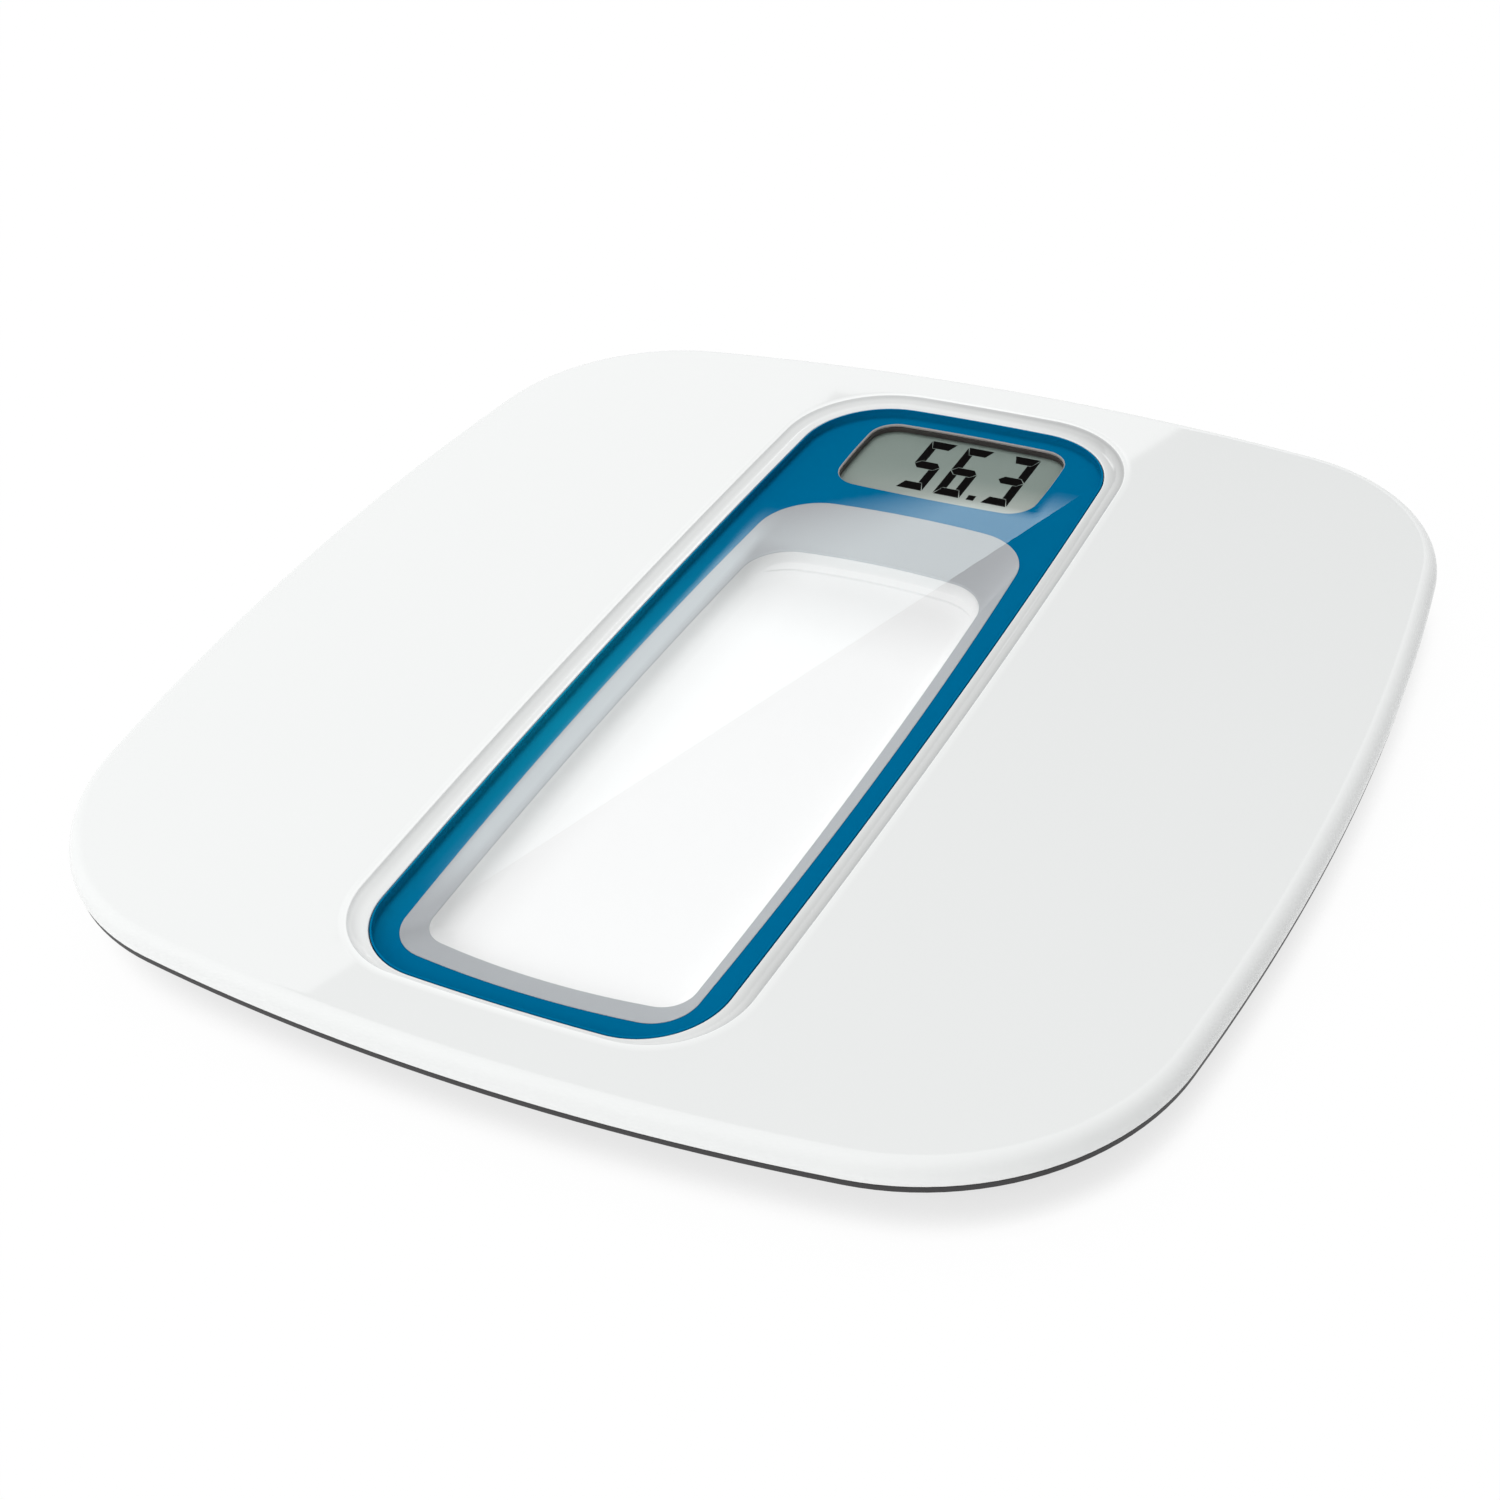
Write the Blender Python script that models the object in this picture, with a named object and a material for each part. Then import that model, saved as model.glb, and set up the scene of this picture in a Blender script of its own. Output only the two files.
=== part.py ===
"""Electronic bathroom scale: a white moulded platform on a dark plinth, with a long display window,
four captive feet that bear on strain-gauge load cells, a coin cell behind a hinged door and a unit button.

Metres, +Z up. The origin is on the floor under the middle of the platform, +X is to the right of the
person who stands on the scale and +Y points to the display end.
"""
import copy
import math

import bmesh
import bpy
from mathutils import Vector

MM = 0.001

# Overall size in plan, the clear height inside from the plinth's floor to the platform's skin, the gap
# kept between pieces that touch, and how far a cutter runs past the face that it opens.
PLATFORM_WIDTH = 320 * MM
PLATFORM_DEPTH = 334 * MM
HOUSING_HEIGHT = 14.7 * MM
FIT = 0.3 * MM
OVERCUT = 0.1 * MM

# Plan of the platform: bulged sides and ends, with wider corners at the front.
PLATFORM_SIDE_BULGE = 17.9 * MM
PLATFORM_END_BULGE = 19.7 * MM
PLATFORM_CORNER_FRONT = 69.5 * MM
PLATFORM_CORNER_BACK = 60.5 * MM

# Section of the platform: a bullnose rim round a thin ribbed skin.
RIM_HEIGHT = 6.7 * MM
RIM_ROUND = 5.2 * MM
RIM_ROUND_DROP = 3.6 * MM
RIM_TUCK = 1.6 * MM
RIM_WALL = 2.4 * MM
SKIN = 2.5 * MM
RIB_DEPTH = 7.5 * MM
RIB_WALL = 2 * MM
RIB_PITCH = 36 * MM

# The display strip, set into the platform by its margins, and the shallow moat round it.
STRIP_WIDTH = 102.8 * MM
STRIP_FROM_FRONT = 22.6 * MM
STRIP_FROM_BACK = 20 * MM
STRIP_SIDE_BULGE = 2.4 * MM
STRIP_END_BULGE = 1.8 * MM
STRIP_CORNER_FRONT = 21.8 * MM
STRIP_CORNER_BACK = 27 * MM
STRIP_SINK = 1.5 * MM
STRIP_LEDGE = 2.5 * MM
STRIP_LEDGE_THICKNESS = 2 * MM
STRIP_WALL = 2.5 * MM
MOAT_SIDE = 5.6 * MM
MOAT_BACK = 7.3 * MM
MOAT_FRONT = 2.8 * MM
MOAT_FLAT = 0.35

# The blue surround is a dish that holds the lens, with one opening for the display and one for the well.
SURROUND_THICKNESS = 0.8 * MM
SURROUND_WALL = 1 * MM
LENS_THICKNESS = 2.4 * MM
DISPLAY_WIDTH = 68 * MM
DISPLAY_DEPTH = 40 * MM
DISPLAY_CORNER = 8.5 * MM
DISPLAY_BULGE = 0.8 * MM
DISPLAY_FROM_BACK = 7 * MM

# The silver band slopes down inside the surround to the mouth of the white well.
BAND_SIDE = 7.6 * MM
BAND_FRONT = 7.5 * MM
BAND_FROM_DISPLAY = 10.4 * MM
BAND_SIDE_BULGE = 3.4 * MM
BAND_END_BULGE = 3.6 * MM
BAND_CORNER_FRONT = 15 * MM
BAND_CORNER_BACK = 19 * MM
BAND_LAP = 1.5 * MM
BAND_DROP = 1.6 * MM
BAND_THICKNESS = 1 * MM
WELL_SIDE = 5.2 * MM
WELL_FRONT = 8.4 * MM
WELL_BACK = 24.6 * MM
WELL_SIDE_BULGE = 2 * MM
WELL_CORNER_FRONT = 11 * MM
WELL_CORNER_BACK = 14.5 * MM
WELL_DEPTH = 11 * MM
WELL_DRAFT = 1.2 * MM
WELL_BACK_SLOPE = 4 * MM
WELL_ROUND = 2.5 * MM
TRAY_WALL = 1.5 * MM

# Display module: glass cell in a frame, on two rubber connector strips over the circuit board.
GLASS_SINK = 2.9 * MM
GLASS_THICKNESS = 2 * MM
GLASS_MARGIN = 1 * MM
HOLDER_WALL = 1.5 * MM
CONNECTOR_STRIP_HEIGHT = 1.4 * MM
CONNECTOR_STRIP_WIDTH = 2.2 * MM
BOARD_BESIDE_DISPLAY = 12 * MM
BOARD_PAST_DISPLAY = 3 * MM
BOARD_THICKNESS = 1.2 * MM
BOARD_CORNER = 1.5 * MM
CHIP_RADIUS = 5 * MM
CHIP_HEIGHT = 1.2 * MM
SOCKET_WIDTH = 6 * MM
SOCKET_DEPTH = 24 * MM
SOCKET_HEIGHT = 2.4 * MM
SOCKET_CORNER = 0.6 * MM
SOCKET_PITCH = 7 * MM

# Plinth: a flanged tray whose lip closes the rim from below. Under the lip it is set in, so that the
# platform can be lifted with the fingers.
BASE_INSET = 16.5 * MM
BASE_WALL = 2 * MM
BASE_LIP = 1.6 * MM
BASE_CLEARANCE = 2.8 * MM
BASE_EDGE = 1 * MM

# Screws that hold the plinth to the platform, one by the middle of each side and two by each end.
SCREW_SHANK = 1.35 * MM
SCREW_HEAD = 3 * MM
SCREW_HEAD_HEIGHT = 1.6 * MM
SCREW_LENGTH = 9 * MM
SCREW_SEAT = 2.4 * MM
SCREW_FROM_SIDE_WALL = 7.5 * MM
SCREW_FROM_END_WALL = 11.5 * MM
SCREW_FROM_MIDDLE = 70 * MM
POST_RADIUS = 5 * MM
POST_HEIGHT = 5.2 * MM
BOSS_RADIUS = 4 * MM

# Feet and load cells, one of each by every corner.
FOOT_FROM_SIDE = 60 * MM
FOOT_FROM_END = 59 * MM
FOOT_DROP = 1 * MM
PAD_RADIUS = 16.5 * MM
PAD_THICKNESS = 2 * MM
PAD_SUNK = 0.6 * MM
PAD_EDGE = 0.6 * MM
CUP_WALL = 1 * MM
CUP_FLOOR = 1.9 * MM
CUP_FLANGE = 1.7 * MM
CUP_FLANGE_THICKNESS = 1 * MM
CUP_BUTTON = 3.5 * MM
CELL_FROM_BORE = 2.8 * MM
CELL_CORNER = 5 * MM
CELL_THICKNESS = 2.4 * MM
CELL_OVER_FLANGE = 1.8 * MM
CELL_TONGUE_WIDTH = 9 * MM
CELL_TONGUE_LENGTH = 14 * MM
CELL_SLOT = 2.5 * MM
CARRIER_LIP = 1.1 * MM
CARRIER_WALL = 1.7 * MM
CARRIER_WEB = 2.5 * MM
CARRIER_RELIEF = 8.5 * MM
LEAD_RADIUS = 1.1 * MM
LEAD_SLOT = 5 * MM
LEAD_LANE = 7 * MM
LEAD_SWEEP = 28 * MM

# Coin cell, its bay in the plinth and the door under it.
COIN_RADIUS = 10 * MM
COIN_THICKNESS = 3.2 * MM
COIN_EDGE = 0.3 * MM
BATTERY_FROM_STRIP = 40.6 * MM
BATTERY_Y = 20 * MM
BAY_WALL = 3.6 * MM
CONTACT_THICKNESS = 0.3 * MM
CONTACT_LENGTH = 12 * MM
CONTACT_WIDTH = 5 * MM
DOOR_LENGTH = 36 * MM
DOOR_WIDTH = 30 * MM
DOOR_CORNER = 3 * MM
DOOR_THICKNESS = 1.6 * MM
DOOR_TAB_WIDTH = 5 * MM
DOOR_TAB_REACH = 2 * MM
DOOR_TAB_THICKNESS = 0.8 * MM
DOOR_TAB_SPACING = 16 * MM
DOOR_SCOOP = 6 * MM

# Unit button in the floor of the plinth, under a switch on the circuit board.
BUTTON_RADIUS = 4 * MM
BUTTON_FLANGE = 5.5 * MM
BUTTON_FLANGE_THICKNESS = 0.9 * MM
BUTTON_RECESS = 0.3 * MM
BUTTON_TRAVEL = 0.6 * MM
BUTTON_X = 24 * MM
SWITCH_SIZE = 6 * MM
SWITCH_CORNER = 0.9 * MM
SWITCH_HEIGHT = 1.2 * MM
SWITCH_NUB = 1.6 * MM
SWITCH_NUB_HEIGHT = 0.5 * MM
SWITCH_CLEARANCE = 0.1 * MM

# Number of straight steps that stand for each curve, and the turn that shows as an edge.
RIM_STEPS = 4
TUCK_STEPS = 2
CORNER_STEPS = 10
LONG_STEPS = 6
STRIP_CORNER_STEPS = 6
STRIP_LONG_STEPS = 4
COARSE_STEPS = 4
FINE_CORNER_STEPS = 2
ROUND_STEPS = 16
SMALL_STEPS = 10
LEAD_SPACING = 12 * MM
LEAD_BEVEL_STEPS = 2
EDGE_TURN = math.radians(35)

# Heights, from the floor up.
BASE_UNDER = BASE_CLEARANCE
BASE_FLOOR = BASE_UNDER + BASE_WALL
POST_TOP = BASE_UNDER + POST_HEIGHT
CUP_FLANGE_UNDER = BASE_UNDER + CARRIER_LIP + FIT + FOOT_DROP
CUP_FLANGE_TOP = CUP_FLANGE_UNDER + CUP_FLANGE_THICKNESS
CELL_UNDER = CUP_FLANGE_TOP + CELL_OVER_FLANGE
CELL_TOP = CELL_UNDER + CELL_THICKNESS
WEB_UNDER = CELL_TOP + FIT
BATTERY_UNDER = BASE_UNDER + DOOR_THICKNESS + FIT
BATTERY_TOP = BATTERY_UNDER + COIN_THICKNESS
BAY_ROOF = BATTERY_TOP + FIT + CONTACT_THICKNESS + FIT
BAY_TOP = BAY_ROOF + BASE_WALL
SKIN_UNDER = BASE_FLOOR + HOUSING_HEIGHT

# Heights, from the top of the platform down.
TOP = SKIN_UNDER + SKIN
RIM_UNDER = TOP - RIM_HEIGHT
RIB_UNDER = SKIN_UNDER - RIB_DEPTH
STRIP_TOP = TOP - STRIP_SINK
LENS_UNDER = STRIP_TOP - LENS_THICKNESS
SURROUND_TOP = LENS_UNDER - FIT
SURROUND_UNDER = SURROUND_TOP - SURROUND_THICKNESS
LEDGE_TOP = SURROUND_UNDER - FIT
BAND_TOP = SURROUND_UNDER - FIT
BAND_LIP = BAND_TOP - BAND_DROP
WELL_FLOOR = STRIP_TOP - WELL_DEPTH
GLASS_TOP = SURROUND_TOP - GLASS_SINK
GLASS_UNDER = GLASS_TOP - GLASS_THICKNESS
BOARD_TOP = GLASS_UNDER - FIT - CONNECTOR_STRIP_HEIGHT - FIT
BOARD_UNDER = BOARD_TOP - BOARD_THICKNESS
FLANGE_TOP = RIM_UNDER + BASE_WALL

# Radii, sizes and places that several pieces share.
RIM_INNER = RIM_TUCK + RIM_WALL
BASE_INNER = BASE_INSET + BASE_WALL
BLOCK_INSET = BASE_INNER + FIT
CUP_RADIUS = PAD_RADIUS + FIT + CUP_WALL
CUP_FLANGE_RADIUS = CUP_RADIUS + CUP_FLANGE
CARRIER_BORE = CUP_FLANGE_RADIUS + FIT
CARRIER_RADIUS = CARRIER_BORE + CARRIER_WALL
CELL_SIZE = 2 * CELL_CORNER + math.sqrt(2) * (CARRIER_BORE - CELL_FROM_BORE - CELL_CORNER)
BOARD_WIDTH = DISPLAY_WIDTH + 2 * BOARD_BESIDE_DISPLAY
BOARD_DEPTH = DISPLAY_DEPTH + 2 * BOARD_PAST_DISPLAY
BAY_LENGTH = DOOR_LENGTH + 2 * BAY_WALL
BAY_WIDTH = DOOR_WIDTH + 2 * BAY_WALL
FOOT_X = PLATFORM_WIDTH / 2 - FOOT_FROM_SIDE
FOOT_Y = PLATFORM_DEPTH / 2 - FOOT_FROM_END
BATTERY_X = STRIP_WIDTH / 2 + BATTERY_FROM_STRIP
STRIP_FRONT = STRIP_FROM_FRONT - PLATFORM_DEPTH / 2
STRIP_BACK = PLATFORM_DEPTH / 2 - STRIP_FROM_BACK
DISPLAY_Y = STRIP_BACK - DISPLAY_FROM_BACK - DISPLAY_DEPTH / 2
SCREW_X = PLATFORM_WIDTH / 2 - BASE_INNER - SCREW_FROM_SIDE_WALL
SCREW_Y = PLATFORM_DEPTH / 2 - BASE_INNER - SCREW_FROM_END_WALL
CONTACT_X = BATTERY_X + COIN_RADIUS + FIT
DOOR_LEFT = BATTERY_X - DOOR_LENGTH / 2
DOOR_RIGHT = BATTERY_X + DOOR_LENGTH / 2
DOOR_HOOKS = [BATTERY_Y - DOOR_TAB_SPACING / 2, BATTERY_Y + DOOR_TAB_SPACING / 2]
FEET = {
    "front_left": (-FOOT_X, -FOOT_Y),
    "front_right": (FOOT_X, -FOOT_Y),
    "back_left": (-FOOT_X, FOOT_Y),
    "back_right": (FOOT_X, FOOT_Y),
}
SCREWS = [(-SCREW_X, 0), (SCREW_X, 0)]
SCREWS += [(x, y) for x in (-SCREW_FROM_MIDDLE, SCREW_FROM_MIDDLE) for y in (-SCREW_Y, SCREW_Y)]


def bulge_radius(half_chord, bulge):
    """Radius of the arc that stands out by a bulge over half its chord."""
    return (half_chord ** 2 + bulge ** 2) / (2 * bulge)


def arc(centre, radius, start, end, steps):
    """Points on an arc in plan, both ends included."""
    turns = [start + (end - start) * i / steps for i in range(steps + 1)]
    return [(centre[0] + radius * math.cos(t), centre[1] + radius * math.sin(t)) for t in turns]


class Outline:
    """A plan outline with bulged sides and ends and rounded corners, the same to the left and right."""

    def __init__(self, width, front, back, side_bulge, end_bulge, corner_front, corner_back):
        self.half_width = width / 2
        self.front = front
        self.back = back
        self.side_radius = bulge_radius((back - front) / 2, side_bulge)
        self.end_radius = bulge_radius(width / 2, end_bulge)
        self.corner_front = corner_front
        self.corner_back = corner_back

    def grown(self, distance):
        """The parallel outline at a distance outside this one, or inside it if negative."""
        other = copy.copy(self)
        other.half_width += distance
        other.front -= distance
        other.back += distance
        other.side_radius += distance
        other.end_radius += distance
        other.corner_front += distance
        other.corner_back += distance
        return other

    def corner(self, end, sign, radius):
        """Centre of the corner that touches the right side and one end, and the turns where it does."""
        side = Vector((self.half_width - self.side_radius, (self.front + self.back) / 2))
        tip = Vector((0, end - sign * self.end_radius))
        reach_side = self.side_radius - radius
        reach_end = self.end_radius - radius
        line = tip - side
        along = (reach_side ** 2 - reach_end ** 2 + line.length_squared) / (2 * line.length)
        across = math.sqrt(reach_side ** 2 - along ** 2)
        line.normalize()
        middle = side + sign * across * Vector((-line.y, line.x)) + along * line
        from_side = middle - side
        from_tip = middle - tip
        return middle, tip, math.atan2(from_side.y, from_side.x), math.atan2(from_tip.y, from_tip.x)

    def points(self, corner_steps=STRIP_CORNER_STEPS, long_steps=STRIP_LONG_STEPS):
        """Points all round, anticlockwise from the middle of the front."""
        front, front_tip, front_side_turn, front_end_turn = self.corner(self.front, -1, self.corner_front)
        back, back_tip, back_side_turn, back_end_turn = self.corner(self.back, 1, self.corner_back)
        side = (self.half_width - self.side_radius, (self.front + self.back) / 2)
        half_steps = max(1, long_steps // 2)
        right = arc(front_tip, self.end_radius, -math.pi / 2, front_end_turn, half_steps)
        right += arc(front, self.corner_front, front_end_turn, front_side_turn, corner_steps)[1:]
        right += arc(side, self.side_radius, front_side_turn, back_side_turn, long_steps)[1:]
        right += arc(back, self.corner_back, back_side_turn, back_end_turn, corner_steps)[1:]
        right += arc(back_tip, self.end_radius, back_end_turn, math.pi / 2, half_steps)[1:]
        left = [(-x, y) for x, y in reversed(right[1:-1])]
        return right + left


def circle(radius, steps, centre=(0, 0)):
    """Points of a circle in plan."""
    return arc(centre, radius, 0, 2 * math.pi * (steps - 1) / steps, steps - 1)


def rounded_rectangle(width, depth, corner, steps=COARSE_STEPS, centre=(0, 0)):
    """Points of a rectangle with rounded corners, anticlockwise."""
    x = width / 2 - corner
    y = depth / 2 - corner
    quarter = math.pi / 2
    points = []
    for number, (i, j) in enumerate(((1, 1), (-1, 1), (-1, -1), (1, -1))):
        middle = (centre[0] + i * x, centre[1] + j * y)
        points += arc(middle, corner, number * quarter, (number + 1) * quarter, steps)
    return points


def rectangle(left, right, front, back):
    """Corners of a rectangle, anticlockwise."""
    return [(left, front), (right, front), (right, back), (left, back)]


def at(points, z):
    """Lift plan points to a height."""
    return [(x, y, z) for x, y in points]


def material(name, colour, roughness, metallic=0.0, transmission=0.0):
    """A plain surface with a base colour."""
    surface = bpy.data.materials.new(name)
    surface.use_nodes = True
    shader = surface.node_tree.nodes["Principled BSDF"]
    shader.inputs["Base Color"].default_value = (*colour, 1)
    shader.inputs["Roughness"].default_value = roughness
    shader.inputs["Metallic"].default_value = metallic
    shader.inputs["Transmission Weight"].default_value = transmission
    return surface


def solid(name, mesh, surface, place=(0, 0, 0)):
    """Turn a finished bmesh into a named object, with its faces pointing out."""
    bmesh.ops.recalc_face_normals(mesh, faces=mesh.faces)
    data = bpy.data.meshes.new(name)
    mesh.to_mesh(data)
    mesh.free()
    data.materials.append(surface)
    thing = bpy.data.objects.new(name, data)
    thing.location = place
    bpy.context.scene.collection.objects.link(thing)
    return thing


def loft(name, rings, surface, place=(0, 0, 0), shut=False):
    """Skin a row of rings with as many points each, capped at both ends or, if shut, joined into a loop."""
    mesh = bmesh.new()
    loops = [[mesh.verts.new(point) for point in ring] for ring in rings]
    pairs = list(zip(loops, loops[1:]))
    if shut:
        pairs.append((loops[-1], loops[0]))
    else:
        mesh.faces.new(list(reversed(loops[0])))
        mesh.faces.new(loops[-1])
    for lower, upper in pairs:
        for i in range(len(lower)):
            j = (i + 1) % len(lower)
            mesh.faces.new((lower[i], lower[j], upper[j], upper[i]))
    return solid(name, mesh, surface, place)


def plate(name, points, bottom, top, surface, place=(0, 0, 0)):
    """A flat piece with a plan outline."""
    return loft(name, [at(points, bottom), at(points, top)], surface, place)


def turned(name, profile, surface, place=(0, 0, 0), steps=ROUND_STEPS, shut=False):
    """A round piece, from the radius and height of each step of its profile."""
    return loft(name, [at(circle(r, steps), z) for r, z in profile], surface, place, shut)


def combine(target, tool, operation):
    """Apply a Boolean of a tool to a piece, and take the tool away."""
    modifier = target.modifiers.new(operation, "BOOLEAN")
    modifier.operation = operation
    modifier.object = tool
    shaped = target.evaluated_get(bpy.context.evaluated_depsgraph_get())
    target.data = bpy.data.meshes.new_from_object(shaped)
    target.modifiers.clear()
    bpy.data.objects.remove(tool)


def cut(target, tool):
    combine(target, tool, "DIFFERENCE")


def join(target, tool):
    combine(target, tool, "UNION")


def repeat(original, name, place, turn=0):
    """Another object with the same mesh, elsewhere."""
    thing = bpy.data.objects.new(name, original.data)
    thing.location = place
    thing.rotation_euler.z = turn
    bpy.context.scene.collection.objects.link(thing)
    return thing


def smooth_route(points, spacing):
    """Points a set distance apart along a smooth curve through the given ones."""
    anchors = [Vector(p) for p in points]
    anchors = [2 * anchors[0] - anchors[1], *anchors, 2 * anchors[-1] - anchors[-2]]
    route = []
    for before, start, end, after in zip(anchors, anchors[1:], anchors[2:], anchors[3:]):
        steps = max(1, round((end - start).length / spacing))
        for i in range(steps):
            t = i / steps
            bend = 2 * before - 5 * start + 4 * end - after
            twist = 3 * (start - end) + after - before
            route.append(start + 0.5 * (t * (end - before) + t ** 2 * bend + t ** 3 * twist))
    route.append(anchors[-2])
    return route


def wire(name, points, radius, surface):
    """A round lead with flat ends along a smooth route."""
    curve = bpy.data.curves.new(name, "CURVE")
    curve.dimensions = "3D"
    curve.bevel_depth = radius
    curve.bevel_resolution = LEAD_BEVEL_STEPS
    curve.use_fill_caps = True
    route = smooth_route(points, LEAD_SPACING)
    spline = curve.splines.new("POLY")
    spline.points.add(len(route) - 1)
    for point, place in zip(spline.points, route):
        point.co = (*place, 1)
    curve.materials.append(surface)
    lead = bpy.data.objects.new(name, curve)
    bpy.context.scene.collection.objects.link(lead)
    return lead


for leftover in list(bpy.data.objects):
    bpy.data.objects.remove(leftover)

WHITE = material("white_abs", (0.86, 0.87, 0.87), 0.22)
DARK = material("dark_grey_abs", (0.035, 0.035, 0.04), 0.45)
BLUE = material("blue_acrylic", (0.0, 0.145, 0.305), 0.15)
SILVER = material("silver_paint", (0.46, 0.48, 0.5), 0.3, 0.7)
CLEAR = material("clear_acrylic", (1.0, 1.0, 1.0), 0.02, 0.0, 1.0)
DISPLAY_GREEN = material("display_glass", (0.27, 0.32, 0.3), 0.12)
BLACK = material("black_abs", (0.02, 0.02, 0.02), 0.5)
BOARD_GREEN = material("board_green", (0.02, 0.16, 0.06), 0.45)
RUBBER = material("rubber", (0.05, 0.05, 0.05), 0.85)
STEEL = material("steel", (0.62, 0.62, 0.6), 0.3, 1.0)
NATURAL = material("natural_plastic", (0.75, 0.74, 0.7), 0.5)
CABLE = material("cable_red", (0.35, 0.03, 0.03), 0.5)

PLATFORM_PLAN = Outline(
    PLATFORM_WIDTH, -PLATFORM_DEPTH / 2, PLATFORM_DEPTH / 2,
    PLATFORM_SIDE_BULGE, PLATFORM_END_BULGE, PLATFORM_CORNER_FRONT, PLATFORM_CORNER_BACK)
STRIP_PLAN = Outline(
    STRIP_WIDTH, STRIP_FRONT, STRIP_BACK,
    STRIP_SIDE_BULGE, STRIP_END_BULGE, STRIP_CORNER_FRONT, STRIP_CORNER_BACK)
MOAT_PLAN = Outline(
    STRIP_WIDTH + 2 * MOAT_SIDE, STRIP_FRONT - MOAT_FRONT, STRIP_BACK + MOAT_BACK,
    STRIP_SIDE_BULGE, STRIP_END_BULGE,
    STRIP_CORNER_FRONT + (MOAT_SIDE + MOAT_FRONT) / 2, STRIP_CORNER_BACK + (MOAT_SIDE + MOAT_BACK) / 2)
DISPLAY_PLAN = Outline(
    DISPLAY_WIDTH, DISPLAY_Y - DISPLAY_DEPTH / 2, DISPLAY_Y + DISPLAY_DEPTH / 2,
    DISPLAY_BULGE, DISPLAY_BULGE, DISPLAY_CORNER, DISPLAY_CORNER)
BAND_PLAN = Outline(
    STRIP_WIDTH - 2 * BAND_SIDE, STRIP_FRONT + BAND_FRONT, DISPLAY_PLAN.front - BAND_FROM_DISPLAY,
    BAND_SIDE_BULGE, BAND_END_BULGE, BAND_CORNER_FRONT, BAND_CORNER_BACK)
WELL_PLAN = Outline(
    STRIP_WIDTH - 2 * (BAND_SIDE + WELL_SIDE), BAND_PLAN.front + WELL_FRONT, BAND_PLAN.back - WELL_BACK,
    WELL_SIDE_BULGE, BAND_END_BULGE, WELL_CORNER_FRONT, WELL_CORNER_BACK)
WELL_FLOOR_PLAN = Outline(
    2 * (WELL_PLAN.half_width - WELL_DRAFT), WELL_PLAN.front + WELL_DRAFT, WELL_PLAN.back - WELL_BACK_SLOPE,
    WELL_SIDE_BULGE, BAND_END_BULGE, WELL_CORNER_FRONT, WELL_CORNER_BACK)
GLASS_PLAN = DISPLAY_PLAN.grown(GLASS_MARGIN)
HOLDER_PLAN = GLASS_PLAN.grown(FIT + HOLDER_WALL)
BOARD_PLACE = (0, DISPLAY_Y)
BAY_PLACE = (BATTERY_X, BATTERY_Y)


def board_outline(margin=0):
    """Plan of the circuit board, or of the room for it."""
    return rounded_rectangle(
        BOARD_WIDTH + 2 * margin, BOARD_DEPTH + 2 * margin, BOARD_CORNER + margin,
        FINE_CORNER_STEPS, BOARD_PLACE)


def bay_outline(margin=0):
    """Plan of the battery bay, or of the room for it."""
    return rounded_rectangle(
        BAY_LENGTH + 2 * margin, BAY_WIDTH + 2 * margin, DOOR_CORNER + margin, COARSE_STEPS, BAY_PLACE)


def door_outline(margin=0):
    """Plan of the battery door, square at its hinge and round at its free end, or of the opening for it."""
    left = DOOR_LEFT - margin
    front = BATTERY_Y - DOOR_WIDTH / 2 - margin
    back = BATTERY_Y + DOOR_WIDTH / 2 + margin
    corner = DOOR_CORNER + margin
    middle = DOOR_RIGHT - DOOR_CORNER
    points = [(left, front)]
    points += arc((middle, front + corner), corner, -math.pi / 2, 0, COARSE_STEPS)
    points += arc((middle, back - corner), corner, 0, math.pi / 2, COARSE_STEPS)
    points.append((left, back))
    return points


def platform_ring(inset, z):
    """One ring of the platform or the plinth, set in from the platform's widest outline."""
    return at(PLATFORM_PLAN.grown(-inset).points(CORNER_STEPS, LONG_STEPS), z)


def moat_cutter():
    """The pocket that the display strip sits in, opening upwards into the soft-edged moat."""
    pocket = STRIP_PLAN.grown(FIT).points()
    edge = MOAT_PLAN.points()
    rings = [at(pocket, LEDGE_TOP), at(pocket, STRIP_TOP)]
    for step in range(RIM_STEPS + 1):
        rise = step / RIM_STEPS
        out = MOAT_FLAT + (1 - MOAT_FLAT) * rise
        z = STRIP_TOP + (STRIP_SINK + OVERCUT) * (1 - math.cos(math.pi * rise)) / 2
        rings.append([((1 - out) * a + out * c, (1 - out) * b + out * d, z)
                      for (a, b), (c, d) in zip(pocket, edge)])
    rings.append(at(edge, TOP + SKIN))
    return loft("moat_cutter", rings, WHITE)


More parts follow.
